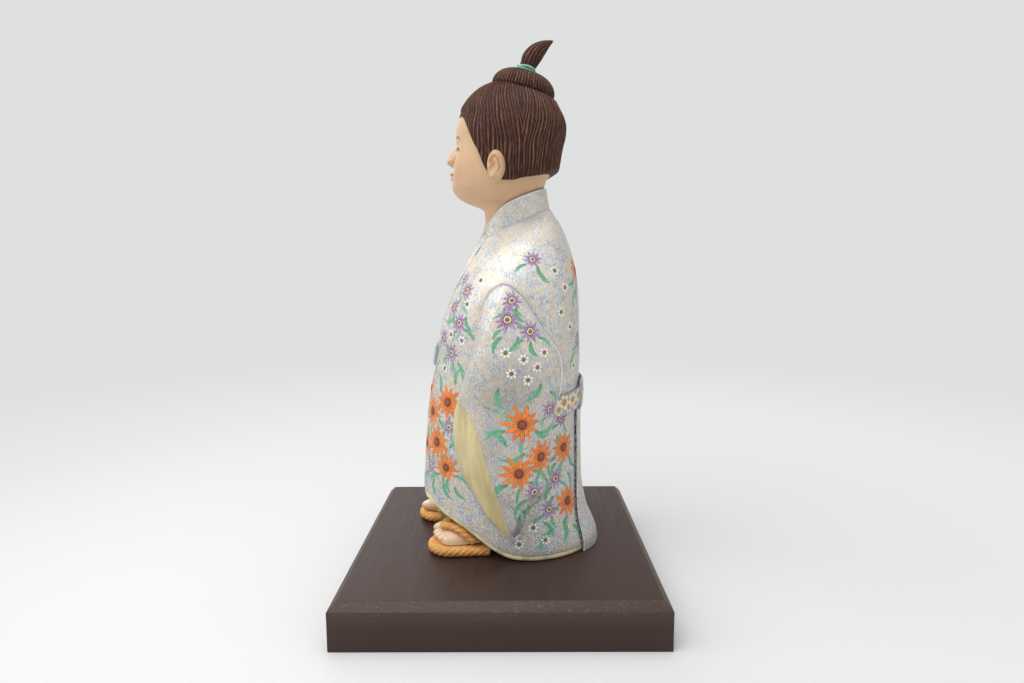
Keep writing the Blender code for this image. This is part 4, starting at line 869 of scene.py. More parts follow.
@functools.lru_cache(maxsize=None)
def silver_paint():
    """Brushed warm silver with fine speckle and soft gold clouds, bluer towards the hem."""
    sizes = bpy.context.scene.doll_sizes
    paint = Finish("robe_silver", 0.42, metallic=0.6)
    silver, blue, gold = hue("robe"), hue("robe_blue"), hue("robe_gold")
    upright = paint.noise(sizes.speckle, 2.0, 0.65, stretch=(1, 1, 0.2))
    across = paint.noise(sizes.speckle, 2.0, 0.65, stretch=(0.35, 0.35, 1), turn=(0.05, 0.04, 0.3))
    fine = paint.noise(sizes.speckle * 0.9, 2.0, 0.7, turn=(0.4, 0.2, 0.9))
    cloud = paint.noise(sizes.cloud, 3.0, 0.6, warp=0.6)
    patch = paint.noise(sizes.cloud * 0.4, 3.0, 0.65, turn=(1.1, 0.3, 0.5))
    blot = paint.noise(sizes.cloud * 0.2, 2.0, 0.6, warp=0.4)
    low = paint.band(paint.level(), 130 * MM, 20 * MM, 0.0, 0.55)
    ground = paint.wash(darker(silver, 0.72), silver, upright, 0.38, 0.62)
    share = paint.sum("ADD", paint.band(cloud, 0.45, 0.62, 0.2, 0.75), low)
    ground = paint.mix(paint.times(paint.band(across, 0.44, 0.60), share), ground, blue)
    share = paint.times(paint.band(fine, 0.52, 0.64), paint.band(cloud, 0.52, 0.38, 0.05, 0.5))
    ground = paint.mix(share, ground, hue("robe_lavender"))
    share = paint.times(paint.band(fine, 0.56, 0.42), paint.band(patch, 0.46, 0.60, 0.08, 0.70))
    ground = paint.mix(share, ground, gold)
    below = paint.band(paint.level(), 235 * MM, 150 * MM, 0.4, 1.0)
    for colour, low, high, clouds in ((blue, 0.58, 0.42, paint.band(patch, 0.50, 0.38, 0.0, 0.7)),
                                      (gold, 0.42, 0.58, paint.band(blot, 0.54, 0.66, 0.0, 0.6))):
        share = paint.times(paint.band(upright, low, high, 0.12, 1.0), clouds)
        ground = paint.mix(paint.times(share, below), ground, colour)
    ground = paint.wash(ground, tone(118, 120, 118), across, 0.42, 0.28, 0.3)
    ground = paint.wash(ground, paler(silver, 0.7), fine, 0.60, 0.72, 0.4)
    # Painted shade: the shade mark, which only the sleeves carry, darkens the silver.
    ground = paint.mix(paint.times(paint.mark("shade"), 0.7), ground, tone(100, 96, 94))
    relief = paint.sum("ADD", across, upright)
    return paint.done(ground, relief, 0.10 * MM, paint.band(cloud, 0.3, 0.7, 0.48, 0.58))


def plain_paint(name, colour, shade, size, roughness, grain=(1, 1, 1), gloss=0.5):
    """A paint with soft patches, fine speckle and a little grain."""
    paint = Finish(name, roughness, gloss=gloss)
    patch = paint.noise(size, 4.0, 0.6, stretch=grain)
    fine = paint.noise(size / 9, 2.0, 0.6)
    ground = paint.wash(shade, colour, patch, 0.35, 0.68)
    ground = paint.wash(ground, darker(shade, 0.8), fine, 0.60, 0.74, 0.45)
    ground = paint.wash(ground, paler(colour, 0.3), fine, 0.40, 0.30, 0.35)
    return paint.done(ground, paint.sum("ADD", patch, fine), 0.05 * MM,
                      paint.band(patch, 0.3, 0.7, roughness - 0.06, roughness + 0.08))


def petal_paint(name, colour, vein, glow, outline=0.9):
    """A painted petal with a darker middle line and outline and lighter sides."""
    paint = Finish(name, 0.5, coat=0.1)
    along, across = paint.mark("along"), paint.mark("across")
    brush = paint.noise(1.1 * MM, 2.0, 0.6)
    side = paint.wash(colour, glow, brush, 0.4, 0.62)
    side = paint.mix(paint.times(paint.mark("tint"), 0.6), side, darker(colour, 0.82))
    side = paint.wash(side, vein, across, 0.14, 0.01, 0.5)
    side = paint.wash(side, vein, across, 0.50, 0.80, outline)
    side = paint.wash(side, vein, along, 0.34, 0.0, 0.8)
    return paint.done(side, brush, 0.04 * MM)


def heart_paint(name, middle, ring, speck):
    """The middle of a flower, with a ring round it and specks on it."""
    paint = Finish(name, 0.55)
    along = paint.mark("along")
    grain = paint.cells(0.7 * MM)
    colour = paint.wash(speck, middle, grain, 0.25, 0.5)
    colour = paint.wash(colour, ring, along, 0.62, 0.72)
    return paint.done(colour, grain, 0.12 * MM)


def hair_paint(name):
    """Stained grooves with worn, lighter ridges between them."""
    paint = Finish(name, 0.66, gloss=0.2)
    ridge, strand = paint.mark("ridge"), paint.mark("strand")
    number = paint.sum("FLOOR", strand)
    lot = paint.tree.nodes.new("ShaderNodeTexWhiteNoise")
    lot.noise_dimensions = "1D"
    paint.tree.links.new(number, lot.inputs["W"])
    lighter_patch = paint.noise(7 * MM, 4.0, 0.65)
    fine = paint.noise(0.8 * MM, 2.0, 0.7)
    groove, middle, light = hue("hair_groove"), hue("hair"), hue("hair_ridge")
    colour = paint.wash(groove, middle, ridge, 0.05, 0.6)
    # The ridges turn lighter still in patches, more on some strands than on others.
    wear = paint.times(paint.band(ridge, 0.70, 1.0), paint.band(lighter_patch, 0.32, 0.62, 0.15, 1.0))
    wear = paint.times(wear, paint.band(lot.outputs["Value"], 0.0, 1.0, 0.25, 1.0))
    colour = paint.mix(wear, colour, light)
    streak = paint.noise(0.7 * MM, 2.0, 0.7, stretch=(1, 1, 0.14), warp=0.3)
    colour = paint.wash(colour, groove, streak, 0.54, 0.66, 0.55)
    colour = paint.wash(colour, light, streak, 0.44, 0.34, 0.30)
    colour = paint.wash(colour, groove, fine, 0.56, 0.72, 0.4)
    return paint.done(colour, fine, 0.06 * MM)


def skin_paint(name, skin):
    """Matt skin with fine specks, warm folds and painted lips."""
    paint = Finish(name, 0.5, gloss=0.4)
    blush_and_crease_shade = hue("blush_and_crease_shade")
    patch = paint.noise(22 * MM, 3.0, 0.5)
    fine = paint.noise(1.1 * MM, 3.0, 0.7)
    colour = paint.wash(skin, blended(skin, blush_and_crease_shade, 0.35), patch, 0.35, 0.7, 0.5)
    colour = paint.wash(colour, blended(skin, blush_and_crease_shade, 0.65), fine, 0.56, 0.72, 0.30)
    colour = paint.wash(colour, paler(skin, 0.28), fine, 0.44, 0.30, 0.35)
    # The fold mark paints shade into creases and hollows: beside and under the nose, round the neck, in the
    # ears and between the toes; on the cheeks it is a light blush.
    colour = paint.mix(paint.times(paint.mark("fold"), 0.75), colour, blush_and_crease_shade)
    colour = paint.mix(paint.mark("lip"), colour, hue("lips"))
    colour = paint.mix(paint.times(paint.mark("nail"), 0.6), colour, paler(skin, 0.55))
    return paint.done(colour, fine, 0.05 * MM)


def straw_paint(name):
    """Ochre straw rope with dark cuts and fine fibres along its strands."""
    paint = Finish(name, 0.58)
    straw, dark = hue("straw"), hue("straw_cut")
    cut = paint.mark("cut")
    fibre = paint.noise(1.6 * MM, 3.0, 0.7, stretch=(1, 1, 2.2))
    patch = paint.noise(6 * MM, 3.0, 0.6)
    colour = paint.wash(darker(straw, 0.78), straw, patch, 0.35, 0.65)
    colour = paint.wash(colour, blended(straw, dark, 0.5), fibre, 0.52, 0.7, 0.5)
    colour = paint.wash(colour, blended(straw, (1, 0.9, 0.7), 0.35), fibre, 0.42, 0.3, 0.4)
    colour = paint.wash(colour, dark, cut, 0.62, 0.94, 0.9)
    return paint.done(colour, fibre, 0.1 * MM)


def board_paint(name):
    """Dark satin lacquer with wood grain, and a lighter worn slope round the top."""
    paint = Finish(name, 0.48, gloss=0.26)
    board, edge = hue("board"), hue("board_edge")
    grain = paint.noise(30 * MM, 6.0, 0.62, stretch=(1, 14, 10))
    fine = paint.noise(1.2 * MM, 3.0, 0.7, stretch=(0.25, 1, 1))
    colour = paint.wash(darker(board, 0.86), board, grain, 0.30, 0.72)
    colour = paint.wash(colour, darker(board, 0.7), fine, 0.58, 0.74, 0.25)
    slope = paint.mark("slope")
    colour = paint.wash(colour, edge, slope, 0.5, 1.0, 0.8)
    thin = paint.noise(0.7 * MM, 2.0, 0.6, stretch=(0.3, 0.3, 1))
    chips = paint.times(paint.band(thin, 0.56, 0.70), paint.band(slope, 0.7, 1.0, 0.0, 0.36))
    colour = paint.mix(chips, colour, paler(edge, 0.10))
    return paint.done(colour, fine, 0.03 * MM, paint.band(grain, 0.3, 0.7, 0.42, 0.52))


def make_board():
    bm = bmesh.new()
    size = BOARD_HIGH - BOARD_LOW
    place = Matrix.Translation((BOARD_LOW + BOARD_HIGH) / 2) @ Matrix.Diagonal((*size, 1))
    bmesh.ops.create_cube(bm, size=1.0, matrix=place)
    top = [edge for edge in bm.edges if all(vert.co.z > size.z / 2 for vert in edge.verts)]
    bmesh.ops.bevel(bm, geom=top, offset=BOARD_SLOPE, offset_type="OFFSET", affect="EDGES", segments=1,
                    profile=0.5, material=-1)
    bm.normal_update()
    sharp = [edge for edge in bm.edges if edge.calc_face_angle(0) > 30 * DEGREE]
    bmesh.ops.bevel(bm, geom=sharp, offset=BOARD_WEAR, offset_type="OFFSET", affect="EDGES", segments=2,
                    profile=0.5, material=-1)
    bm.normal_update()
    slope = bm.verts.layers.float.new("slope")
    for face in bm.faces:
        if 0.3 < face.normal.z < 0.95:
            for vert in face.verts:
                vert[slope] = 1.0
    frame_piece("board", bm, board_paint("board_lacquer"), ["plinth_board"], "plinth", 25,
                raised=False)


def make_pegs():
    birch = plain_paint("peg_birch", tone(206, 176, 130), tone(176, 140, 96), 5 * MM, 0.6, (1, 1, 0.15))
    for side in ("left", "right"):
        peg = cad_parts["locating_peg_" + side]
        peg.data.materials.clear()
        peg.data.materials.append(birch)


def make_robe():
    turn = circle(336)
    low = hem_level(turn, LINING_THICKNESS + 2 * GAP)
    level = low + (1 - low) * rows_of(190)
    fold = folded_shut(robe_point(turn, level[[0, -1]]))
    points = np.concatenate([fold[:1], robe_face(turn, level), fold[-1:]], axis=0)
    bm = lay(bmesh.new(), points)
    robe = frame_piece("robe", bm, silver_paint(), ["robe_body"], smooth=50)
    peg_holes(robe)


def make_hem_lining():
    hem = hue("hem")
    cream = plain_paint("hem_cream", hem, darker(hem, 0.62), 9 * MM, 0.5, (1, 1, 0.5))
    turn = circle(288)
    share = rows_of(10)
    inset = 0.9 * MM * np.abs(2 * share - 1) ** 3
    level = hem_level(turn, GAP + LINING_THICKNESS * share)
    points = folded_shut(robe_point(turn, level, -inset))
    lining = frame_piece("hem_edge", lay(bmesh.new(), points), cream, ["hem_lining"])
    peg_holes(lining)


def panel_top(turn):
    """The level just under the sash."""
    return sash_middle(turn) - (SASH_WIDTH / 2 + 2 * GAP) / ROBE_HEIGHT


def panel_edge(share):
    """Turn of the back panel's left edge."""
    return row_at(PANEL_SHARES, panel_top(math.pi) * share)[0] * DEGREE


def make_back_panel():
    share, across = rows_of(90), columns(96)
    edge = panel_edge(share)
    turn = edge + (2 * math.pi - 2 * edge) * across
    low = hem_level(np.array(math.pi), GAP)
    level = low + (panel_top(turn) - low) * share
    flare = PANEL_FLARE * np.maximum(0.0, 1 - level / HEM_REACH_SHARE) ** 4
    middle = 1 - (2 * across - 1) ** 4
    outer = robe_point(turn, level, 2 * GAP + PANEL_THICKNESS + flare * middle)
    inner = robe_point(turn, level, 2 * GAP)
    bm = lay(bmesh.new(), slab(inner, outer, 2))
    frame_piece("back_panel_cloth", bm, silver_paint(), ["back_panel"], smooth=50)
    seam = Finish("seam_thread", 0.6)
    stitch = seam.noise(1.2 * MM, 1.0, 0.5)
    dots = seam.wash(tone(52, 62, 92), tone(150, 152, 160), stitch, 0.48, 0.56)
    bm = bmesh.new()
    line = rows_of(160)
    for side in (1, -1):
        edge_tube(bm, edge_line(line, side)[:, 0], 0.42 * MM * (1 + 0.35 * np.sin(line * 160)), 6)
    frame_piece("back_seams", bm, seam.done(dots, stitch, 0.1 * MM))


def edge_tube(bm, line, radius, sides, **marks):
    """A round tube along a line on the robe, drawn in at both ends."""
    ahead = unit(np.gradient(line, axis=0))
    outward = unit(line * (1, 1, 0) - (0, ROBE_AXIS_Y, 0))
    outward = unit(outward - ahead * (outward * ahead).sum(axis=1, keepdims=True))
    angle = circle(sides)
    size = radius * np.sqrt(np.clip(np.sin(rows_of(len(line) - 1) * math.pi) * 6, 0, 1))
    lay(bm, tube_rings(line, outward, np.cross(ahead, outward), angle, size), **marks)


def edge_line(share, side):
    """The line where the back panel's edge meets the robe."""
    turn = panel_edge(share) - 0.6 * DEGREE
    low = hem_level(np.array(math.pi), GAP) + 0.004
    points = robe_point(turn, low + (panel_top(turn) - low) * share, SEAM_LIFT)
    return points if side > 0 else mirrored(points)


def brocade_paint(name):
    blue = hue("brocade")
    paint = Finish(name, 0.45, metallic=0.2)
    weave = paint.cells(0.9 * MM)
    patch = paint.noise(7 * MM, 4.0, 0.6)
    colour = paint.wash(darker(blue, 0.6), blue, patch, 0.35, 0.65)
    colour = paint.wash(colour, paler(blue, 0.45), weave, 0.2, 0.5, 0.5)
    return paint.done(colour, weave, 0.15 * MM)


def sash_face(turn, across, lift=0.0):
    """Points on the sash; across runs from -1 at its lower edge to 1 at its upper one."""
    edge = 0.25 * MM * eased((np.abs(across) - 0.72) / 0.1)
    return robe_point(turn, sash_middle(turn) + across * SASH_HALF_LEVEL, GAP + SASH_THICKNESS + edge + lift)


def pad_face(middle_turn, middle_level, seat, size, side, up, lift=0.0):
    """Points on a low pad; side and up run from -1 to 1."""
    width, height, thickness = size
    reach = width / 2 / (row_at(ROBE_SHARES, middle_level)[2] * ROBE_HALF_WIDTH)
    swell = (1 - 0.6 * side ** 4) * (1 - 0.6 * up ** 4)
    turn = middle_turn + reach * side * (1 - 0.12 * up * up)
    return robe_point(turn, middle_level + height / 2 / ROBE_HEIGHT * up, seat + thickness * swell + lift)


def make_sash():
    brocade = brocade_paint("sash_brocade")
    turn = SASH_FIRST_TURN + rows_of(200) * 2 * (math.pi - SASH_FIRST_TURN)
    across = columns(22) * 2 - 1
    inner = robe_point(turn, sash_middle(turn) + across * SASH_HALF_LEVEL, GAP)
    bm = lay(bmesh.new(), slab(inner, sash_face(turn, across)))
    frame_piece("sash_band", bm, brocade, ["sash"], smooth=50)
    seat = 2 * GAP + SASH_THICKNESS + GAP / 2
    side, up = columns(48) * 2 - 1, rows_of(40) * 2 - 1
    pads = (("sash_knot_pad", "sash_knot", math.pi, float(sash_middle(math.pi)), seat, KNOT_SIZE),
            ("front_tie_pad", "front_tie", 0.0, TIE_LEVEL_SHARE, GAP + FRONT_STEP, TIE_SIZE))
    for name, node, middle, level, foot, size in pads:
        flat = (size[0], size[1], 0.0)
        folds = -0.35 * MM * bump(side - 0.25 * up, 0.07) - 0.3 * MM * bump(side + 0.45 - 0.2 * up, 0.06)
        outer = pad_face(middle, level, foot, size, side, up, folds)
        inner = pad_face(middle, level, foot, flat, side, up, -0.5 * MM)
        bm = lay(bmesh.new(), slab(inner, outer))
        frame_piece(name, bm, brocade, [node], smooth=60)
    bm = bmesh.new()
    for turn, place, kind, width, spin in SASH_ORNAMENT:
        paint_flower(bm, sash_face, turn * DEGREE, place, kind, width * MM, spin)
    knot = functools.partial(pad_face, math.pi, float(sash_middle(math.pi)), seat, KNOT_SIZE)
    for across, up, kind, width, spin in KNOT_ORNAMENT:
        paint_flower(bm, knot, across, up, kind, width * MM, spin)
    tie = functools.partial(pad_face, 0.0, TIE_LEVEL_SHARE, GAP + FRONT_STEP, TIE_SIZE)
    paint_flower(bm, tie, -0.2, 0.15, "brocade", 7 * MM, 10)
    paint_flower(bm, tie, 0.5, -0.4, "brocade", 5 * MM, 30)
    frame_piece("sash_ornament", bm, relief_paint("sash_relief"), closed=False)


def relief_paint(name):
    cream = hue("relief")
    paint = Finish(name, 0.4, metallic=0.15)
    fine = paint.noise(1.0 * MM, 2.0, 0.6)
    colour = paint.wash(tone(188, 148, 84), cream, paint.mark("along"), 0.1, 0.6)
    colour = paint.wash(colour, tone(170, 140, 96), fine, 0.52, 0.66, 0.6)
    return paint.done(colour, fine, 0.08 * MM)


def collar_rings():
    """Cuts through the collar from the foot of its front band round the neck to the other side."""
    rings = []
    shares = np.array([0, 0.33, 0.66, 1])
    for turn_in, level_in, turn_out, level_out in FRONT_BAND_SHARES:
        turn = (turn_in + (turn_out - turn_in) * shares) * DEGREE
        level = level_in + (level_out - level_in) * shares
        inner = robe_point(turn, level, -2 * GAP)
        outer = robe_point(turn, level, GAP + COLLAR_THICKNESS * (1 - 0.5 * shares ** 2))
        rings.append(np.concatenate([inner, outer[::-1]]))
    first, last, steps = 34 * DEGREE, 2 * math.pi - 30 * DEGREE, 22
    for step in range(steps + 1):
        turn = np.array(first + (last - first) * step / steps)
        away = turn_away(turn - math.pi)
        lag = 16 * DEGREE * (abs(away) / (math.pi - first)) ** 3
        neck_turn = turn_away(turn + math.copysign(lag, away))
        rise = row_at(COLLAR_RISE_SHARES, abs(neck_turn) / DEGREE)[0]
        foot = head_skin(neck_turn, np.array(0.0), -GAP) - (0, 0, 2 * GAP)
        inner = [head_skin(neck_turn, 0.184 * rise * share, -GAP) for share in (1, 0.66, 0.33)] + [foot]
        rim = robe_point(turn, np.array(1.0)) - (0, 0, GAP)
        away_from = unit(np.array([inner[0][0], inner[0][1] - ROBE_AXIS_Y, 0.0]))
        lip = inner[0] + away_from * COLLAR_THICKNESS
        outer = [rim + (lip - rim) * share for share in (0, 0.33, 0.66, 1)]
        rings.append(np.array(inner + outer))
    return np.array(rings)


def curve_between(points, places):
    """Points on a smooth curve through the given ones, at places between them."""
    last = len(points) - 1
    index = np.minimum(places.astype(int), last - 1)
    t = (places - index).reshape(-1, *[1] * (points.ndim - 1))
    p0, p1 = points[np.maximum(index - 1, 0)], points[index]
    p2, p3 = points[index + 1], points[np.minimum(index + 2, last)]
    return p1 + t * (p2 - p0 + t * (2 * p0 - 5 * p1 + 4 * p2 - p3 + t * (3 * (p1 - p2) + p3 - p0))) / 2


def refined(rings, along, around):
    """Smooth rows between rings, and points between their corners."""
    last = len(rings) - 1
    rows = curve_between(rings, np.linspace(0, last, last * along + 1))
    corners = rows.shape[1]
    spot = np.linspace(0, corners, corners * around + 1)
    base = np.minimum(spot.astype(int), corners - 1)
    share = (spot - base)[None, :, None]
    return rows[:, base] * (1 - share) + rows[:, (base + 1) % corners] * share


def make_collar():
    ring = worn(refined(collar_rings(), 6, 6), 3)
    count = ring.shape[1] - 1
    partner = ring[:, (8 * 6 - 6 - np.arange(count + 1)) % count]
    middle = (ring + partner) / 2
    points = np.concatenate([middle[:1], ring, middle[-1:]], axis=0)
    frame_piece("collar_band", lay(bmesh.new(), points), silver_paint(), ["collar"], smooth=60)
    bm = bmesh.new()
    around = np.cos(circle(8) + 0.9)
    for corner, size in ((4 * 6, 0.42 * MM), (7 * 6, 0.36 * MM)):
        # Each edge line is painted with a highlight on one side and shade on the other.
        edge_tube(bm, ring[:, corner], size, 8, shade=0.6 * eased(0.2 + around))
    frame_piece("collar_edges", bm, seam_highlight_and_shade("collar_edge_paint"))


def sleeve_parts(level):
    front, front_depth, ridge, ridge_depth, middle_depth, back, back_depth, inner_depth = row_at(
        SLEEVE_SHARES, level)
    return (front * DEGREE, front_depth, ridge * DEGREE, ridge_depth, middle_depth, back * DEGREE, back_depth,
            inner_depth)


def sleeve_face(place, level, lift=0.0):
    """Points on the outside of the left sleeve; place runs from its front ridge to its back edge."""
    place, level = np.clip(place, 0.0, 1.0), np.clip(level, SLEEVE_FOOT_SHARE, SLEEVE_TOP_SHARE)
    _, _, ridge, ridge_depth, middle_depth, back, back_depth, _ = sleeve_parts(level)
    depth = ridge_depth * (1 - place) * (1 - 2 * place) + 4 * middle_depth * place * (1 - place)
    depth = depth + back_depth * place * (2 * place - 1)
    return robe_point(ridge + (back - ridge) * place, level, depth * SLEEVE_DEPTH + lift)


def right_sleeve_face(place, level, lift=0.0):
    return mirrored(sleeve_face(place, level, lift))


def mouth_face(share, level, recess):
    """Points across the sleeve's mouth, from its front edge to its ridge, set back by a recess."""
    front, front_depth, ridge, ridge_depth = sleeve_parts(level)[:4]
    turn = front + (ridge - front) * share + recess / ROBE_HALF_WIDTH
    return robe_point(turn, level, (front_depth + (ridge_depth - front_depth) * share) * SLEEVE_DEPTH)


def sleeve_levels(count, top):
    return SLEEVE_FOOT_SHARE + (top - SLEEVE_FOOT_SHARE) * rows_of(count)


def sleeve_surface():
    """Points round the left sleeve, and how dusky its paint is there."""
    level = sleeve_levels(150, SLEEVE_TOP_SHARE)
    front, _, _, _, _, back, _, inner_depth = sleeve_parts(level)
    mouth, place = columns(27), columns(93)[:, 1:]
    lined = 1 - eased((level - SLEEVE_MOUTH_TOP_SHARE + 0.004) / 0.006)
    rim = eased(mouth / 0.07) * eased((1 - mouth) / 0.07)
    recess = (SLEEVE_LINING_THICKNESS + GAP) * lined * rim
    span = (back - sleeve_parts(level)[2]) * ROBE_HALF_WIDTH
    slope = np.clip((place - 1) * span / (3.4 * MM) + 1, 0, 1) * (1 - eased((level - 0.155) / 0.05))
    outer = np.concatenate([mouth_face(mouth, level, recess), sleeve_face(place, level, -4.2 * MM * slope)],
                           axis=1)
    share = np.linspace(0, 1, outer.shape[1])[None, :]
    inner = robe_point(front + (back - front) * share, level, inner_depth * SLEEVE_DEPTH - 0.6 * MM)
    # Partly darker paint and partly painted shade: a broad patch across the sleeve's middle and a smaller one
    # beside its mouth.
    darker_paint_and_shade = 0.55 * bump(place - 0.42, 0.30) * bump(level - 0.50, 0.15)
    darker_paint_and_shade = darker_paint_and_shade + 0.4 * bump(place - 0.10, 0.14) * bump(level - 0.36, 0.10)
    cloth = slab(inner, outer)
    shade = np.zeros(cloth.shape[:2])
    # The shade mark holds painted shade on the sloped lower back face, plus the patches above.
    shade[1:-1, outer.shape[1]:outer.shape[1] + place.shape[1]] = (0.18 * eased(slope * 3) + darker_paint_and_shade)[:, ::-1]
    return cloth, shade


def lining_surface():
    level = sleeve_levels(110, SLEEVE_MOUTH_TOP_SHARE - 0.002)
    share = columns(30) * 0.88 + 0.06
    dish = 1.0 * MM * 4 * share * (1 - share)
    outer = mouth_face(share, level, 0.25 * MM + 0.25 * dish)
    inner = mouth_face(share, level, SLEEVE_LINING_THICKNESS + 0.3 * dish)
    return slab(inner, outer)


def make_sleeves():
    silver, cream = silver_paint(), hue("lining")
    lining = plain_paint("sleeve_cream", cream, blended(cream, tone(150, 130, 78), 0.45), 10 * MM, 0.5,
                         (1, 1, 0.22))
    cloth, shade = sleeve_surface()
    for side, sign in (("left", 1), ("right", -1)):
        shape = lay(bmesh.new(), cloth * (sign, 1, 1), shade=shade)
        frame_piece("sleeve_cloth_" + side, shape, silver, ["sleeve_" + side], smooth=50)
        shape = lay(bmesh.new(), lining_surface() * (sign, 1, 1))
        frame_piece("sleeve_mouth_" + side, shape, lining, ["sleeve_lining_" + side],
                    smooth=50)


def make_sleeve_seams():
    """A raised line along the top and the back edge of each sleeve."""
    top = SLEEVE_TOP_SHARE
    levels = np.concatenate([np.linspace(0.50, top, 70), np.full(7, top), np.linspace(top, 0.79, 12)[1:]])
    front, front_depth, _, _, _, back, back_depth, _ = sleeve_parts(levels)
    over = np.concatenate([np.zeros(70), np.linspace(0, 1, 8)[1:], np.ones(11)])
    line = robe_point(back + (front - back) * over, levels,
                      (back_depth + (front_depth - back_depth) * over) * SLEEVE_DEPTH + SEAM_LIFT)
    for _ in range(6):
        line[1:-1] = (line[:-2] + 2 * line[1:-1] + line[2:]) / 4
    bm = bmesh.new()
    around = np.sin(circle(8))
    for path, turned in ((line, 1), (mirrored(line), -1)):
        # Each line is painted with a highlight on one side and shade on the other.
        edge_tube(bm, path, 0.65 * MM, 8, shade=eased(0.5 + 0.9 * turned * around))
    frame_piece("sleeve_seams", bm, seam_highlight_and_shade("sleeve_seam_paint"))


def seam_highlight_and_shade(name):
    """Light silver on one side of a raised line and violet on the other."""
    silver, violet = hue("robe"), darker(hue("robe_lavender"), 0.45)
    paint = Finish(name, 0.36, metallic=0.3)
    fine = paint.noise(0.9 * MM, 2.0, 0.6)
    # The shade mark runs from the painted highlight to the painted shade.
    colour = paint.mix(paint.mark("shade"), paler(silver, 0.6), violet)
    colour = paint.wash(colour, hue("robe_blue"), fine, 0.5, 0.7, 0.35)
    return paint.done(colour, fine, 0.08 * MM)


def make_inner_robe():
    olive = hue("inner")
    paint = plain_paint("inner_olive", olive, darker(olive, 0.66), 8 * MM, 0.6, (1, 1, 0.4))
    low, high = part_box("inner_robe")
    share, along = rows_of(36), columns(44)
    x = low.x + (high.x - low.x) * share
    front = -42.5 * MM + 10 * MM * share
    y = front + (-8 * MM - front) * along
    folds = 0.7 * MM * np.sin(share * 5 * math.pi) * (1 - along) ** 2
    bottom = stacked(x, y + folds + 0.7 * MM * (1 - along), GAP)
    top = stacked(x, y, hem_lift(y - ROBE_AXIS_Y) - GAP)
    frame_piece("inner_robe_cloth", lay(bmesh.new(), slab(bottom, top)), paint,
                ["inner_robe"], smooth=60)


def foot_front(tip):
    return tip + TOE_SETBACK + FOOT_HALF_WIDTH / 2


def foot_point(x, tip, share, angle, grow=0.0):
    front = foot_front(tip)
    width, height = row_at(FOOT_SHARES, share)
    return stacked(x + (width * FOOT_HALF_WIDTH + grow) * rounded(np.cos(angle), 2.6),
                   front + (FOOT_BACK_Y - front) * share,
                   SANDAL_THICKNESS + 2 * GAP + (height * FOOT_HEIGHT + grow) * rounded(np.sin(angle), 2.6))


def toe_places(x, tip, outward):
    """Middle and radius of each toe, from the inner to the outer one."""
    places = []
    for across, setback, radius in TOE_SHARES:
        size = 0.9 * radius * FOOT_HALF_WIDTH
        places.append((Vector((x + outward * across * FOOT_HALF_WIDTH,
                               tip + 2.4 * MM + TOE_STRETCH * size + setback * FOOT_HALF_WIDTH,
                               SANDAL_THICKNESS + 2 * GAP + size * 0.98)), size))
    return places


def make_feet():
    # A lighter copy of the skin colour, as painted light on the feet where they lie in shade.
    skin = skin_paint("foot_skin", hue("foot"))
    for side, (x, tip, outward) in SANDALS.items():
        bm = bmesh.new()
        share, angle = rows_of(24), columns(30) * math.pi
        over = foot_point(x, tip, share, angle)
        under = over.copy()
        under[..., 2] = SANDAL_THICKNESS + 2 * GAP
        lay(bm, slab(under, over))
        toes = toe_places(x, tip, outward)
        for middle, size in toes:
            stretch = Matrix.Diagonal((size, size * TOE_STRETCH, size * TOE_HEIGHT, 1))
            shape = Matrix.Translation(middle) @ stretch
            bmesh.ops.create_uvsphere(bm, u_segments=24, v_segments=14, radius=1.0, matrix=shape)
        foot = frame_piece("foot_flesh_" + side, bm, skin, ["foot_" + side])
        remesh = foot.modifiers.new("remesh", "REMESH")
        remesh.mode = "VOXEL"
        remesh.voxel_size = FOOT_VOXEL
        smooth = foot.modifiers.new("smooth", "SMOOTH")
        smooth.factor = 0.5
        smooth.iterations = 1
        applied(foot)
        foot.data.materials.clear()
        foot.data.materials.append(skin)
        foot.data.shade_smooth()
        places = np.array([vert.co for vert in foot.data.vertices]) - (0, 0, BOARD_TOP)
        reach = [(places - middle) / (size, size * TOE_STRETCH, size * TOE_HEIGHT) for middle, size in toes]
        far = np.sort(np.array([np.linalg.norm(offset, axis=1) for offset in reach]), axis=0)
        # Painted shade in the gaps between the toes.
        fold = 1.1 * bump(far[1] - far[0], 0.20) * (far[0] < 1.25)
        nail = np.zeros(len(places))
        for offset in reach:
            nail = np.maximum(nail, (np.hypot(offset[:, 0] / 0.62, (offset[:, 1] + 0.55) / 0.3) < 1)
                              * (offset[:, 2] > 0.35) * (np.linalg.norm(offset, axis=1) < 1.3))
        for name, values in (("fold", fold), ("nail", nail)):
            foot.data.attributes.new(name, "FLOAT", "POINT").data.foreach_set("value", values)


def sandal_rim(x, tip, count):
    """Points round the sandal's edge, and the way along it and out of it."""
    half = SANDAL_WIDTH / 2
    angle = np.linspace(0, math.pi, 90)
    toe = np.stack([x - half * np.cos(angle), tip + half - half * np.sin(angle)], axis=-1)
    back = half * SOLE_BACK_SHARE
    line = np.concatenate([[(x - back, SANDAL_BACK_Y)], toe, [(x + back, SANDAL_BACK_Y)]])
    line = np.concatenate([line, line[:1]])
    run = run_of(line)
    place = np.linspace(0, run[-1], count + 1)
    points = np.stack([np.interp(place, run, line[:, axis]) for axis in (0, 1)], axis=-1)
    ring = points[:-1]
    for _ in range(12):
        ring = (np.roll(ring, 1, axis=0) + 2 * ring + np.roll(ring, -1, axis=0)) / 4
    points = np.concatenate([ring, ring[:1]])
    ahead = unit(np.roll(ring, -1, axis=0) - np.roll(ring, 1, axis=0))
    ahead = np.concatenate([ahead, ahead[:1]])
    return points, np.stack([ahead[:, 1], -ahead[:, 0]], axis=-1), run[-1]


def rope_cut(phase):
    """How deep a cut is at a place of the lay; 1 in the cut."""
    return np.abs(np.cos(math.pi * phase)) ** 8


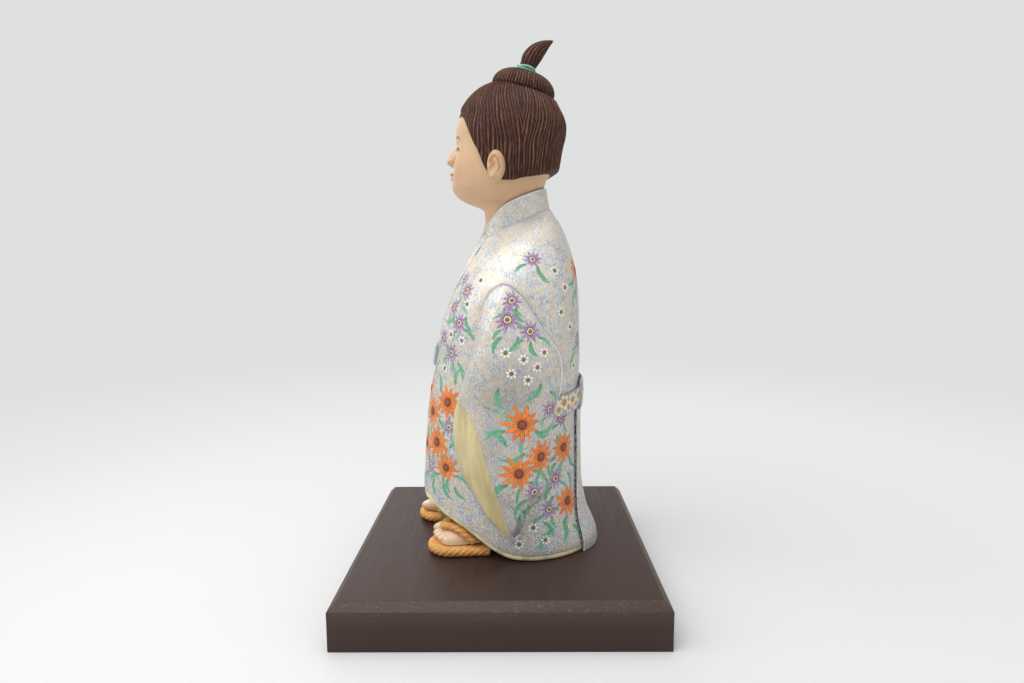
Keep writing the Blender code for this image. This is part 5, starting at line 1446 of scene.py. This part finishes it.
def make_sandals():
    sizes = bpy.context.scene.doll_sizes
    straw = straw_paint("sandal_straw")
    for side, (x, tip, _) in SANDALS.items():
        bm = bmesh.new()
        line, out, length = sandal_rim(x, tip, 360)
        half = SANDAL_THICKNESS / 2
        middle = line - out * half
        angle = circle(22)
        turns = round(length / sizes.rope_pitch)
        along = rows_of(360)
        cut = rope_cut(turns * along - 2.5 * angle / math.pi)
        size = half - sizes.rope_cut * cut
        ring = stacked(middle[:, None, 0] + out[:, None, 0] * np.cos(angle) * size,
                       middle[:, None, 1] + out[:, None, 1] * np.cos(angle) * size,
                       GAP + half + np.sin(angle) * size)
        lay(bm, ring, cut=cut)
        share = np.concatenate([rows_of(10)[::-1], rows_of(10), [[1.0]]])
        height = np.array([SANDAL_THICKNESS - 0.7 * MM, 0.9 * MM]).repeat(11)
        height = np.append(height, height[0])[:, None]
        centre = line[:-1].mean(axis=0)
        inner = centre + (middle - centre) * share[..., None]
        weave = 0.18 * MM * np.sin(inner[..., 1] * 2 * math.pi / SOLE_WEAVE)
        lay(bm, stacked(inner[..., 0], inner[..., 1], GAP + height + weave), cut=0.2)
        frame_piece("sandal_sole_" + side, bm, straw, ["sandal_" + side], smooth=60)
        make_thong(side, x, tip, straw)


def smooth_path(points, count):
    """Points evenly along a smooth curve through the given ones."""
    last = len(points) - 1
    dense = curve_between(points, np.linspace(0, last, 40 * last + 1))
    run = run_of(dense)
    spots = np.linspace(0, run[-1], count + 1)
    return np.stack([np.interp(spots, run, dense[:, axis]) for axis in range(3)], axis=-1), run[-1]


def make_thong(side, x, tip, straw):
    sizes = bpy.context.scene.doll_sizes
    end_share = 1 - 3 * MM / (FOOT_BACK_Y - foot_front(tip))
    path = []
    for place, angle in THONG_SHARES:
        share = end_share + (0.05 - end_share) * place
        path.append(foot_point(x, tip, np.array(share), np.array(angle * DEGREE), THONG_RADIUS + 2 * GAP))
    path = np.array(path)
    path[:, 2] = np.maximum(path[:, 2], SANDAL_THICKNESS + 2 * GAP + THONG_RADIUS)
    other = path[-2::-1] * (-1, 1, 1) + (2 * x, 0, 0)
    line, length = smooth_path(np.concatenate([path, other]), 260)
    ahead = unit(np.gradient(line, axis=0))
    outward = unit(np.cross(ahead, np.cross(line - (x, FOOT_BACK_Y, 0), ahead)))
    angle = circle(20)
    along = rows_of(260)
    cut = rope_cut(round(length / sizes.rope_pitch) * along + 1.5 * angle / math.pi)
    ends = eased(along / 0.012) * eased((1 - along) / 0.012)
    size = (THONG_RADIUS - sizes.rope_cut * cut) * np.sqrt(ends)
    bm = lay(bmesh.new(), tube_rings(line, outward, np.cross(ahead, outward), angle, size), cut=cut)
    frame_piece("sandal_thong_" + side, bm, straw, ["thong_" + side], smooth=60)


def ear_surface():
    """The left ear: a flat oval with a rolled rim, a hollow and a lobe."""
    angle = circle(104)
    polar = rows_of(80) * math.pi
    radius = np.sin(polar)
    y, z = radius * np.cos(angle), radius * np.sin(angle)
    face = eased((np.cos(polar) + 0.25) / 0.25)
    dome = np.sign(np.cos(polar)) * np.sqrt(np.maximum(0, 1 - radius ** 3.4))
    back = np.cos(angle - 0.35 * math.pi)
    rim = 0.6 * bump(radius - 0.80, 0.16) * eased((back + 0.75) / 0.5)
    groove = -0.8 * bump(radius - 0.55, 0.10) * eased((back + 0.3) / 0.5)
    inner_ridge = 0.45 * bump(radius - 0.37, 0.10) * eased((np.cos(angle) + 0.2) / 0.6)
    hollow = -1.6 * bump(y + 0.20, 0.22) * bump(z - 0.10, 0.26)
    front_lobe = 0.9 * bump(y + 0.60, 0.16) * bump(z + 0.10, 0.17)
    lobe = 1.7 * bump(y + 0.34, 0.36) * bump(z + 0.68, 0.26)
    relief = (rim + groove + inner_ridge + hollow + front_lobe + lobe) * face * MM
    width = 1 - 0.10 * eased((-z - 0.1) / 0.9)
    thick, wide, tall = EAR_SIZE
    points = stacked(dome * thick / 2 + relief, (y * width - 0.10 * z * z * (z < 0)) * wide / 2, z * tall / 2)
    # Painted shade in the ear's groove and hollow.
    fold = np.clip(-(groove + 0.6 * hollow) * face / 2.4, 0, 0.3)
    turn = Matrix.Rotation(EAR_TURN, 4, "Z") @ Matrix.Rotation(EAR_TILT, 4, "Y")
    return moved(points, Matrix.Translation(EAR_PLACE) @ turn), fold


def make_head():
    skin = skin_paint("head_skin", hue("skin"))
    turn = circle(320)
    share = rows_of(230)
    level = np.interp(share, (0, 0.14, 0.80, 1), (0, 0.26, 0.64, 1))
    points = head_face(turn, level)
    side, height = np.abs(points[..., 0]), points[..., 2] - NECK_Z
    front = (np.cos(turn) > 0.4) * 1.0
    upper = bump(height - (31.4 * MM - 0.20 * side), 1.25 * MM)
    lower = bump(height - (28.7 * MM + 0.12 * side), 1.3 * MM)
    lip = 0.8 * np.clip(1.4 * np.maximum(upper, lower), 0, 1) * front
    lip = lip * eased((MOUTH_HALF_WIDTH - side) / (2.4 * MM))
    # Painted shade beside and under the nose, with a light blush on the cheeks.
    fold = front * sum(strength * bump(side - place * MM, reach * MM) * bump(height - level * MM, rise * MM)
                       for strength, place, reach, level, rise in FACE_SHADE_AND_BLUSH)
    away = np.abs(turn_away(turn)) / DEGREE
    # Painted shade in a crease round the neck.
    neck_crease_shade = 0.35 * bump(height - 14 * MM, 1.2 * MM) * bump(away - 62, 16)
    bm = lay(bmesh.new(), folded_shut(points), lip=ended(lip), fold=ended(fold + neck_crease_shade))
    ear, ear_hollow_shade = ear_surface()
    lay(bm, ear, lip=0.0, fold=ear_hollow_shade)
    lay(bm, mirrored(ear), lip=0.0, fold=ear_hollow_shade)
    frame_piece("head_carving", bm, skin, ["head"], smooth=60)


def face_point(turn, z, lift):
    """Points on the face at a turn and a height, a little outside it."""
    turn, z = np.broadcast_arrays(turn, z)
    level = head_level(turn, z)
    across = head_face(turn + FACE_STEP, level) - head_face(turn - FACE_STEP, level)
    upward = head_face(turn, level + FACE_STEP) - head_face(turn, level - FACE_STEP)
    return head_face(turn, level) + unit(np.cross(across, upward)) * np.asarray(lift)[..., None]


def face_stroke(bm, turns, heights, width, thickness):
    """A painted stroke over the face, thin at both ends."""
    place = columns(28)
    turn = np.interp(place, np.linspace(0, 1, len(turns)), turns)
    middle = row_at(tuple(zip(np.linspace(0, 1, len(heights)), heights)), place)[0]
    half = width / 2 * np.sqrt(np.maximum(0, np.sin(place * math.pi))) + 0.02 * MM
    side = rows_of(6) * 2 - 1
    lift = thickness * (1 - side ** 4) - 0.04 * MM
    lay(bm, face_point(turn + 0 * side, middle + half * side, lift), along=place + 0 * side)


def make_face():
    line, skin = hue("line"), hue("skin")
    paints = {"eye_lines": (darker(line, 0.5), darker(line, 0.3)),
              "brows": (blended(line, skin, 0.3), blended(line, skin, 0.45)),
              "eye_whites": (tone(206, 184, 158), tone(190, 162, 134))}
    meshes = {name: bmesh.new() for name in paints}
    for side in (1, -1):
        for name, turns, heights, width, thickness in FACE_STROKES:
            face_stroke(meshes[name], [side * turn * DEGREE for turn in turns[::side]],
                        [height * MM for height in heights[::side]], width * MM, thickness * MM)
    for name, (colour, shade) in paints.items():
        bmesh.ops.solidify(meshes[name], geom=meshes[name].faces, thickness=0.15 * MM)
        frame_piece(name, meshes[name], plain_paint("paint_" + name, colour, shade, 2 * MM, 0.75, gloss=0.08))


def groove(phase):
    """Height of a carved strand at a place across it; 1 on its ridge and 0 in the groove."""
    return (0.5 - 0.5 * np.cos(2 * math.pi * phase)) ** 1.3


def make_hair():
    sizes = bpy.context.scene.doll_sizes
    turn = circle(760)
    away = np.abs(turn_away(turn))
    girdle = np.linspace(0, math.pi, 400)
    ring = hair_skin(girdle, np.full(400, HAIR_FOOT_Z + HAIR_HEIGHT / 2))
    run = run_of(ring)
    reach = np.interp(away, girdle, run)
    meeting = np.interp(HAIR_MEETING_TURN, girdle, run)
    top = hair_top(turn)
    low = hairline(turn) + HAIR_BACK_EDGE * np.maximum(0.0, -np.cos(turn)) ** 2
    share = np.concatenate([np.linspace(0, 0.1, 10), np.linspace(0.1, 1, 56)[1:]])[:, None]
    z = low + (top - low) * share
    outer = hair_skin(turn + 0 * share, z)
    axis = np.array([0, ROBE_AXIS_Y, 0])
    scalp = head_skin(turn + 0 * share, head_level(turn, z), SCALP_COVER) - axis
    spread = np.linalg.norm((outer - axis)[..., :2], axis=-1)
    grow = np.maximum(1.0, np.linalg.norm(scalp[..., :2], axis=-1) / spread)[..., None]
    outer = np.where([True, True, False], axis + (outer - axis) * grow, outer)
    down = 1 - (z - 222 * MM) / (50 * MM)
    beside = np.abs(reach - meeting)
    limit = np.where(reach < meeting, meeting, run[-1] - meeting)
    pull = HAIR_PULL * eased((down + 0.05) / 0.75) * np.cos(math.pi / 2 * np.clip(beside / limit, 0, 1)) ** 2
    phase = (beside + pull) / sizes.hair_pitch
    phase = phase + 0.16 * np.sin(6 * down + 1.7 * phase) + 0.09 * np.sin(17 * down + 0.6 * phase)
    height = groove(phase)
    edge = eased(share / 0.05)
    lift = 0.4 * MM * np.maximum(0.0, np.cos(turn)) ** 1.5
    points = pushed(outer, sizes.hair_depth * (height - 0.8) * (0.1 + 0.9 * edge) + lift)
    root = head_skin(turn, head_level(turn, hairline(turn)), -0.9 * MM)
    step = np.linspace(0, 1, 6)[:-1, None, None]
    under = root + (points[:1] - root) * step
    under[..., 2] += 0.5 * MM * np.sin(math.pi * step[..., 0])
    crown = points[-1:].copy()
    crown[..., 0] = 0
    points = np.concatenate([under[:1] * (0, 1, 1), under, points, crown], axis=0)
    ridge = np.concatenate([np.zeros((6, 1)) * height[:1], height, height[-1:]], axis=0)
    strand = np.concatenate([np.repeat(phase[:1], 6, axis=0), phase, phase[-1:]], axis=0)
    bm = lay(bmesh.new(), points, ridge=ridge, strand=strand)
    frame_piece("hair_carving", bm, hair_paint("hair_stain"), ["hair_cap"], smooth=60)


def bun_frame():
    foot = Matrix.Translation((0, BUN_Y, bun_plane(BUN_Y) + GAP))
    return foot @ Matrix.Rotation(math.atan(BUN_SLOPE), 4, "X")


def make_bun():
    sizes = bpy.context.scene.doll_sizes
    angle = circle(640)
    share = np.linspace(0, 1, 44)[:, None]
    radius, height = row_at(BUN_SHARES, share)
    count = round(2 * math.pi * BUN_RADIUS / sizes.bun_pitch)
    phase = angle / (2 * math.pi) * count + 0.2 * np.sin(5 * share + 3 * angle)
    ridge = groove(phase)
    depth = 0.5 * MM * (1 - ridge) * eased(share / 0.06) * (1 - 0.75 * eased((share - 0.6) / 0.4))
    radius = radius * BUN_RADIUS - depth * np.cos(share * 1.3)
    height = height * BUN_HEIGHT - depth * np.sin(share * 1.3) + GAP
    points = stacked(radius * np.sin(angle), -radius * np.cos(angle), height)
    closed = [points[:1] * (0, 0, 1), points, points[-1:] * (0, 0, 1)]
    points = moved(np.concatenate(closed, axis=0), bun_frame() @ Matrix.Translation((0, 0, -GAP)))
    ridge, phase = (np.concatenate([mark[:1] * keep, mark, mark[-1:]], axis=0)
                    for mark, keep in ((ridge, 0), (phase, 1)))
    frame_piece("bun_carving", lay(bmesh.new(), points, ridge=ridge, strand=phase), hair_paint("bun_stain"),
                ["hair_bun"], smooth=60)


def cord_frame():
    return bun_frame() @ Matrix.Translation((0, CORD_BACKSET, BUN_HEIGHT + GAP))


def make_cord():
    mint = hue("cord")
    paint = Finish("mint_cord", 0.55)
    twist = paint.mark("cut")
    fine = paint.noise(0.6 * MM, 2.0, 0.6)
    colour = paint.wash(mint, darker(mint, 0.42), twist, 0.4, 0.9)
    colour = paint.wash(colour, paler(mint, 0.4), fine, 0.55, 0.7, 0.4)
    # Painted shade: the lower strand, which carries the shade mark, is darker under the upper one.
    colour = paint.mix(paint.mark("shade"), colour, darker(mint, 0.45))
    bm = bmesh.new()
    angle, around = rows_of(180) * 2 * math.pi, circle(14)
    thick = CORD_HEIGHT / 4
    for index, height in enumerate((thick * 1.02, CORD_HEIGHT - thick * 1.02)):
        cut = rope_cut(CORD_TWISTS * angle / (2 * math.pi) + around / (2 * math.pi))
        size = thick - 0.1 * MM * cut
        wave = 0.22 * MM * np.sin(angle * 3 + 2 * index)
        run = CORD_RADIUS - thick - 0.25 * MM + 0.2 * MM * np.sin(angle * 5 + index)
        radius = run + size * np.cos(around)
        points = stacked(radius * np.sin(angle), -radius * np.cos(angle),
                         height + wave + size * np.sin(around))
        # Only the lower strand carries painted shade.
        lay(bm, moved(points, cord_frame()), cut=cut, shade=0.55 * (1 - index))
    frame_piece("cord_strands", bm, paint.done(colour, fine, 0.08 * MM), ["topknot_cord"])


def make_tuft():
    angle = circle(224)
    share = np.concatenate([np.linspace(0, 0.95, 70), np.linspace(0.95, 1, 12)[1:]])[:, None]
    reach, height, depth, thick = row_at(TUFT_SHARES, share)
    base = CORD_HEIGHT + 2 * GAP
    path_y, path_z = reach * TUFT_REACH, height * TUFT_HEIGHT + base
    lean = np.arctan2(np.gradient(path_y, axis=0), np.gradient(path_z, axis=0))
    lean[0], lean[1] = 0, lean[2] / 2
    phase = angle / (2 * math.pi) * TUFT_STRANDS + 0.9 * share + 0.2 * np.sin(6 * share + 2 * angle)
    ridge = groove(phase)
    scale = TUFT_RADIUS - 0.5 * MM * (1 - ridge)
    along = -depth * scale * np.cos(angle)
    across = thick * scale * np.sin(angle)
    points = stacked(across, path_y + along * np.cos(lean), path_z - along * np.sin(lean))
    points = np.concatenate([points[:1] * (0, 1, 1), points], axis=0)
    ridge = np.concatenate([ridge[:1], ridge], axis=0)
    phase = np.concatenate([phase[:1], phase], axis=0)
    points = moved(points, cord_frame())
    frame_piece("tuft_carving", lay(bmesh.new(), points, ridge=ridge, strand=phase), hair_paint("tuft_stain"),
                ["topknot"], smooth=60)


def local_map(surface, across, up):
    """Turns lengths on a surface near a place into steps of its two parameters."""
    centre = surface(np.array(across), np.array(up))
    first = (surface(np.array(across + MAP_STEP), np.array(up)) - centre) / MAP_STEP
    second = (surface(np.array(across), np.array(up + MAP_STEP)) - centre) / MAP_STEP
    outward = unit(surface(np.array(across), np.array(up), 1 * MM) - centre)
    upward = np.array([0.0, 0.0, 1.0])
    upward = unit(upward - outward * upward.dot(outward))
    right = np.cross(upward, outward)
    table = np.array([[first.dot(right), second.dot(right)], [first.dot(upward), second.dot(upward)]])
    return np.linalg.inv(table)


def painted(bm, surface, spot, table, flat, lift, **marks):
    """Lays a flat shape on a surface at a spot."""
    steps = flat @ table.T
    lay(bm, surface(spot[0] + steps[..., 0], spot[1] + steps[..., 1], lift), **marks)


def pointing(run, beside, turn):
    """A flat shape given by lengths along a direction and beside it."""
    return np.stack([run * math.cos(turn) - beside * math.sin(turn),
                     run * math.sin(turn) + beside * math.cos(turn)], axis=-1)


# Petals, inner radius, petal width, place along the petal where it starts, sharpness of its tip
FLOWER_KINDS = {
    "marigold": (11, 0.16, 0.335, 0.20, 0.95),
    "aster": (10, 0.20, 0.30, 0.20, 0.85),
    "daisy": (7, 0.40, 0.50, 0.04, 0.5),
    "brocade": (6, 0.16, 0.62, 0.08, 0.5),
}
# Growth, radius and height of the heart, and the leaves: how many, first turn, turn between, length
FLOWER_GROWTH = {
    "marigold": (1.04, 0.24, 0.42, 3, -56, 56, 12.5),
    "aster": (1.24, 0.26, 0.3, 2, -35, 70, 8.5),
    "daisy": (1.34, 0.36, 0.3, 0, 0, 0, 0),
}


def paint_flower(bm, surface, across, up, kind, width, spin):
    """Petals round a middle, painted a little above a surface."""
    height = 0.38 * MM if kind == "brocade" else bpy.context.scene.doll_sizes.paint_height
    petals, inner, broad, first, tip = FLOWER_KINDS[kind]
    table = local_map(surface, across, up)
    radius = width / 2
    along = rows_of(4)
    side = columns(4) * 2 - 1
    outline = np.sin(math.pi * (first + (1 - first) * along)) ** tip
    for petal in range(petals):
        turn = spin * DEGREE + 2 * math.pi * petal / petals
        reach = radius * (1 + 0.07 * math.sin(petal * 2.4 + spin))
        start = radius * inner
        run = start + (reach - start) * along
        flat = pointing(run, side * outline * broad * radius / 2, turn)
        lift = height * (1 - 0.8 * side ** 2) * (0.4 + 0.6 * outline) - 0.04 * MM
        painted(bm, surface, (across, up), table, flat, lift, along=along, across=np.abs(side),
                tint=0.5 + 0.5 * math.sin(petal * 1.7 + spin))


def paint_heart(bm, surface, across, up, radius, height):
    """The round middle of a flower, as a low dome."""
    table = local_map(surface, across, up)
    share, angle = rows_of(4), circle(14)
    flat = np.stack([radius * share * np.cos(angle), radius * share * np.sin(angle)], axis=-1)
    lift = height * np.sqrt(1 - 0.9 * share ** 2) + 0 * angle - 0.05 * MM * share
    painted(bm, surface, (across, up), table, flat[::-1], lift[::-1], along=share[::-1])


def paint_leaf(bm, surface, across, up, length, lean, start=0.0):
    """A slim leaf that starts at a distance from a spot."""
    height = bpy.context.scene.doll_sizes.paint_height
    table = local_map(surface, across, up)
    along, side = rows_of(8), columns(4) * 2 - 1
    outline = np.sin(math.pi * along ** 0.8) ** 0.8
    bend = 0.16 * length * np.sin(math.pi * along) * (1 if int(length / MM) % 2 else -1)
    beside = side * (outline * length * 0.165 + 0.14 * MM) + bend
    flat = pointing(start + length * along, beside, lean * DEGREE)
    lift = 0.75 * height * (1 - 0.8 * side ** 2) - 0.05 * MM
    painted(bm, surface, (across, up), table, flat, lift + 0 * along, along=along, across=np.abs(side),
            tint=0.5 + 0.5 * math.sin(length / MM + lean))


def make_flowers():
    petals = {kind: bmesh.new() for kind in ("marigold", "aster", "daisy")}
    hearts = {kind: bmesh.new() for kind in petals}
    leaves = bmesh.new()
    faces = [(sleeve_face, 1, row) for row in SLEEVE_FLOWERS]
    faces += [(right_sleeve_face, 1, row) for row in SLEEVE_FLOWERS]
    faces += [(robe_face, DEGREE, row) for row in ROBE_FLOWERS]
    for surface, scale, (across, up, kind, width, spin) in faces:
        growth, heart, dome, count, first, between, reach = FLOWER_GROWTH[kind]
        across, width = across * scale, width * growth
        paint_flower(petals[kind], surface, across, up, kind, width * MM, spin)
        paint_heart(hearts[kind], surface, across, up, width * MM / 2 * heart, dome * MM)
        for step in range(count):
            lean = first + between * step - 90 + 14 * math.sin(27 * up + step)
            length = reach * (1 + 0.2 * math.sin(7 * up + 2 * step))
            paint_leaf(leaves, surface, across, up, length * MM, lean, width * MM * 0.36)
    for surface, scale, rows in ((sleeve_face, 1, SLEEVE_LEAVES), (right_sleeve_face, 1, SLEEVE_LEAVES),
                                 (robe_face, DEGREE, ROBE_LEAVES)):
        for across, up, length, lean in rows:
            paint_leaf(leaves, surface, across * scale, up, 1.15 * length * MM, lean)
    orange, violet, white = hue("orange"), hue("violet"), hue("white")
    paints = {
        "marigold": (petal_paint("petal_orange", orange, hue("orange_vein"),
                                 blended(orange, (1, 0.6, 0.2), 0.35)),
                     heart_paint("heart_orange", hue("orange_heart"), tone(110, 44, 34),
                                 tone(96, 52, 46))),
        "aster": (petal_paint("petal_violet", violet, hue("violet_vein"), paler(violet, 0.35)),
                  heart_paint("heart_violet", hue("olive"), hue("cream"), tone(96, 86, 40))),
        "daisy": (petal_paint("petal_white", white, tone(220, 214, 196), (1, 1, 1), 0.3),
                  heart_paint("heart_white", hue("olive"), tone(130, 96, 40), tone(116, 84, 40))),
    }
    for kind, names in (("marigold", "orange"), ("aster", "violet"), ("daisy", "white")):
        for part, bm, paint in (("petals_", petals[kind], paints[kind][0]),
                                ("hearts_", hearts[kind], paints[kind][1])):
            frame_piece(part + names, bm, paint, closed=False)
    leaf = petal_paint("leaf_green", hue("leaf"), hue("leaf_edge"),
                       paler(hue("leaf"), 0.2), 0.6)
    frame_piece("leaves", leaves, leaf, closed=False)


def seen_directly(tree):
    """1 for rays that show the backdrop itself or its reflection."""
    rays = tree.nodes.new("ShaderNodeLightPath")
    total = rays.outputs["Is Camera Ray"]
    for name in ("Is Glossy Ray", "Is Transmission Ray"):
        node = tree.nodes.new("ShaderNodeMath")
        node.operation = "MAXIMUM"
        tree.links.new(total, node.inputs[0])
        tree.links.new(rays.outputs[name], node.inputs[1])
        total = node.outputs["Value"]
    return total


def make_stage():
    scene = bpy.context.scene
    bm = bmesh.new()
    size, bend, back = 6.0, 0.9, 1.1
    angle = np.linspace(0, math.pi / 2, 20)
    path = [(size, 0.0), (0.6, 0.0)]
    path += [(-back - bend * math.sin(a), bend - bend * math.cos(a)) for a in angle]
    path.append((-back - bend, 4.0))
    along = np.array(path)[:, None]
    side = (columns(12) * 2 - 1) * size
    lay(bm, stacked(along[..., 0], side, along[..., 1]))
    bm.normal_update()
    if sum(face.normal.z for face in bm.faces) < 0:
        bmesh.ops.reverse_faces(bm, faces=bm.faces)
    mesh = bpy.data.meshes.new("studio_sheet")
    bm.to_mesh(mesh)
    bm.free()
    mesh.shade_smooth()
    sheet = bpy.data.objects.new("studio_sheet", mesh)
    scene.collection.objects.link(sheet)
    paint = Finish("studio_white", 0.9)
    soft = paint.noise(0.8, 2.0, 0.5)
    mesh.materials.append(paint.done(paint.mix(soft, (0.76, 0.76, 0.76), (0.79, 0.79, 0.79))))
    tree = paint.tree
    glow = tree.nodes.new("ShaderNodeEmission")
    place = tree.nodes.new("ShaderNodeSeparateXYZ")
    tree.links.new(paint.coords, place.inputs["Vector"])
    distance = paint.sum("POWER", paint.sum("ADD", paint.sum("POWER", place.outputs["X"], 2.0),
                                            paint.sum("POWER", place.outputs["Y"], 2.0)), 0.5)
    # Seen directly, the sheet beyond the figure shows a painted glow, lighter nearer the figure and greyer
    # further out.
    far = paint.band(distance, 0.05, 1.05)
    tree.links.new(paint.mix(far, tone(241, 242, 242), tone(223, 224, 224)), glow.inputs["Color"])
    seen = seen_directly(tree)
    share = paint.times(seen, paint.band(distance, 0.14, 0.55))
    blend = tree.nodes.new("ShaderNodeMixShader")
    tree.links.new(share, blend.inputs["Fac"])
    tree.links.new(paint.shader.outputs["BSDF"], blend.inputs[1])
    tree.links.new(glow.outputs["Emission"], blend.inputs[2])
    tree.links.new(blend.outputs["Shader"], tree.nodes["Material Output"].inputs["Surface"])
    world = scene.world or bpy.data.worlds.new("studio")
    scene.world = world
    world.use_nodes = True
    tree = world.node_tree
    soft_light = tree.nodes["Background"]
    soft_light.inputs["Color"].default_value = (0.97, 0.985, 1.0, 1.0)
    soft_light.inputs["Strength"].default_value = 0.28
    pale = tree.nodes.new("ShaderNodeBackground")
    pale.inputs["Color"].default_value = (*tone(223, 224, 224), 1.0)
    blend = tree.nodes.new("ShaderNodeMixShader")
    tree.links.new(seen_directly(tree), blend.inputs["Fac"])
    tree.links.new(soft_light.outputs["Background"], blend.inputs[1])
    tree.links.new(pale.outputs["Background"], blend.inputs[2])
    tree.links.new(blend.outputs["Shader"], tree.nodes["World Output"].inputs["Surface"])
    for name, place, width, power in LAMPS:
        light = bpy.data.lights.new(name, "AREA")
        light.size = width
        light.energy = power
        lamp = bpy.data.objects.new(name, light)
        lamp.location = place
        lamp.rotation_mode = "QUATERNION"
        lamp.rotation_quaternion = (Vector(LAMP_AIM) - Vector(place)).to_track_quat("-Z", "Y")
        scene.collection.objects.link(lamp)
    data = bpy.data.cameras.new("camera")
    data.sensor_width = CAMERA_SENSOR
    data.lens = CAMERA_LENS
    camera = bpy.data.objects.new("camera", data)
    forward = Vector((-math.cos(CAMERA_YAW) * math.cos(CAMERA_PITCH),
                      -math.sin(CAMERA_YAW) * math.cos(CAMERA_PITCH), -math.sin(CAMERA_PITCH)))
    right = forward.cross(Vector((0, 0, 1))).normalized()
    up = right.cross(forward)
    turn = Matrix.Rotation(-CAMERA_ROLL, 3, forward)
    right, up = turn @ right, turn @ up
    basis = Matrix((right, up, -forward)).transposed().to_4x4()
    camera.matrix_world = Matrix.Translation(CAMERA_PLACE) @ basis
    scene.collection.objects.link(camera)
    scene.camera = camera
    scene.view_settings.view_transform = "Standard"


def operator_of(name, label, text, build):
    """An operator that builds one piece or one group of like pieces."""
    def execute(self, context):
        build()
        return {"FINISHED"}
    return type("DOLL_OT_" + name, (bpy.types.Operator,), {
        "__doc__": text, "bl_idname": "doll." + name, "bl_label": label, "execute": execute})


OPERATORS = [operator_of(*row) for row in (
    ("board", "Board", "Add the square board with its sloped top edge", make_board),
    ("pegs", "Pegs", "Paint the two locating pegs as bare birch", make_pegs),
    ("robe", "Robe", "Add the silver robe with its overlapping front", make_robe),
    ("hem_lining", "Hem lining", "Add the cream edge under the hem", make_hem_lining),
    ("back_panel", "Back panel", "Add the panel down the back and its dotted seams", make_back_panel),
    ("sash", "Sash", "Add the brocade sash, its knot, the front tie and their ornament", make_sash),
    ("collar", "Collar", "Add the collar band", make_collar),
    ("sleeves", "Sleeves", "Add both sleeves and their cream mouths", make_sleeves),
    ("sleeve_seams", "Sleeve seams", "Add the raised line round the top of each sleeve", make_sleeve_seams),
    ("inner_robe", "Inner robe", "Add the inner robe between the feet", make_inner_robe),
    ("feet", "Feet", "Add both feet with their toes", make_feet),
    ("sandals", "Sandals", "Add both straw sandals and their thongs", make_sandals),
    ("head", "Head", "Add the head with its face and ears", make_head),
    ("face", "Face paint", "Paint the brows and the eyes", make_face),
    ("hair", "Hair", "Add the carved hair", make_hair),
    ("bun", "Bun", "Add the bun", make_bun),
    ("cord", "Cord", "Add the two strands of the hair cord", make_cord),
    ("tuft", "Tuft", "Add the tuft above the cord", make_tuft),
    ("flowers", "Flowers", "Paint the flowers and leaves on the robe and sleeves", make_flowers),
    ("stage", "Stage", "Add the pale sheet, the lamps and the camera", make_stage),
)]


class DOLL_PT_panel(bpy.types.Panel):
    """Sizes, colours and pieces of the doll"""
    bl_idname = "DOLL_PT_panel"
    bl_label = "Doll"
    bl_space_type = "VIEW_3D"
    bl_region_type = "UI"
    bl_category = "Doll"

    def draw(self, context):
        layout = self.layout
        for group in (context.scene.doll_sizes, context.scene.doll_colours):
            for name in group.__annotations__:
                layout.prop(group, name)
        for operator in OPERATORS:
            layout.operator(operator.bl_idname)


CLASSES = [DollColours, DollSizes, *OPERATORS, DOLL_PT_panel]


def register():
    for item in CLASSES:
        bpy.utils.register_class(item)
    bpy.types.Scene.doll_colours = bpy.props.PointerProperty(type=DollColours)
    bpy.types.Scene.doll_sizes = bpy.props.PointerProperty(type=DollSizes)


def unregister():
    del bpy.types.Scene.doll_sizes
    del bpy.types.Scene.doll_colours
    for item in reversed(CLASSES):
        bpy.utils.unregister_class(item)


def main():
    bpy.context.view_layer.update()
    register()
    for operator in OPERATORS:
        group, name = operator.bl_idname.split(".")
        getattr(getattr(bpy.ops, group), name)()


if __name__ == "__main__":
    main()
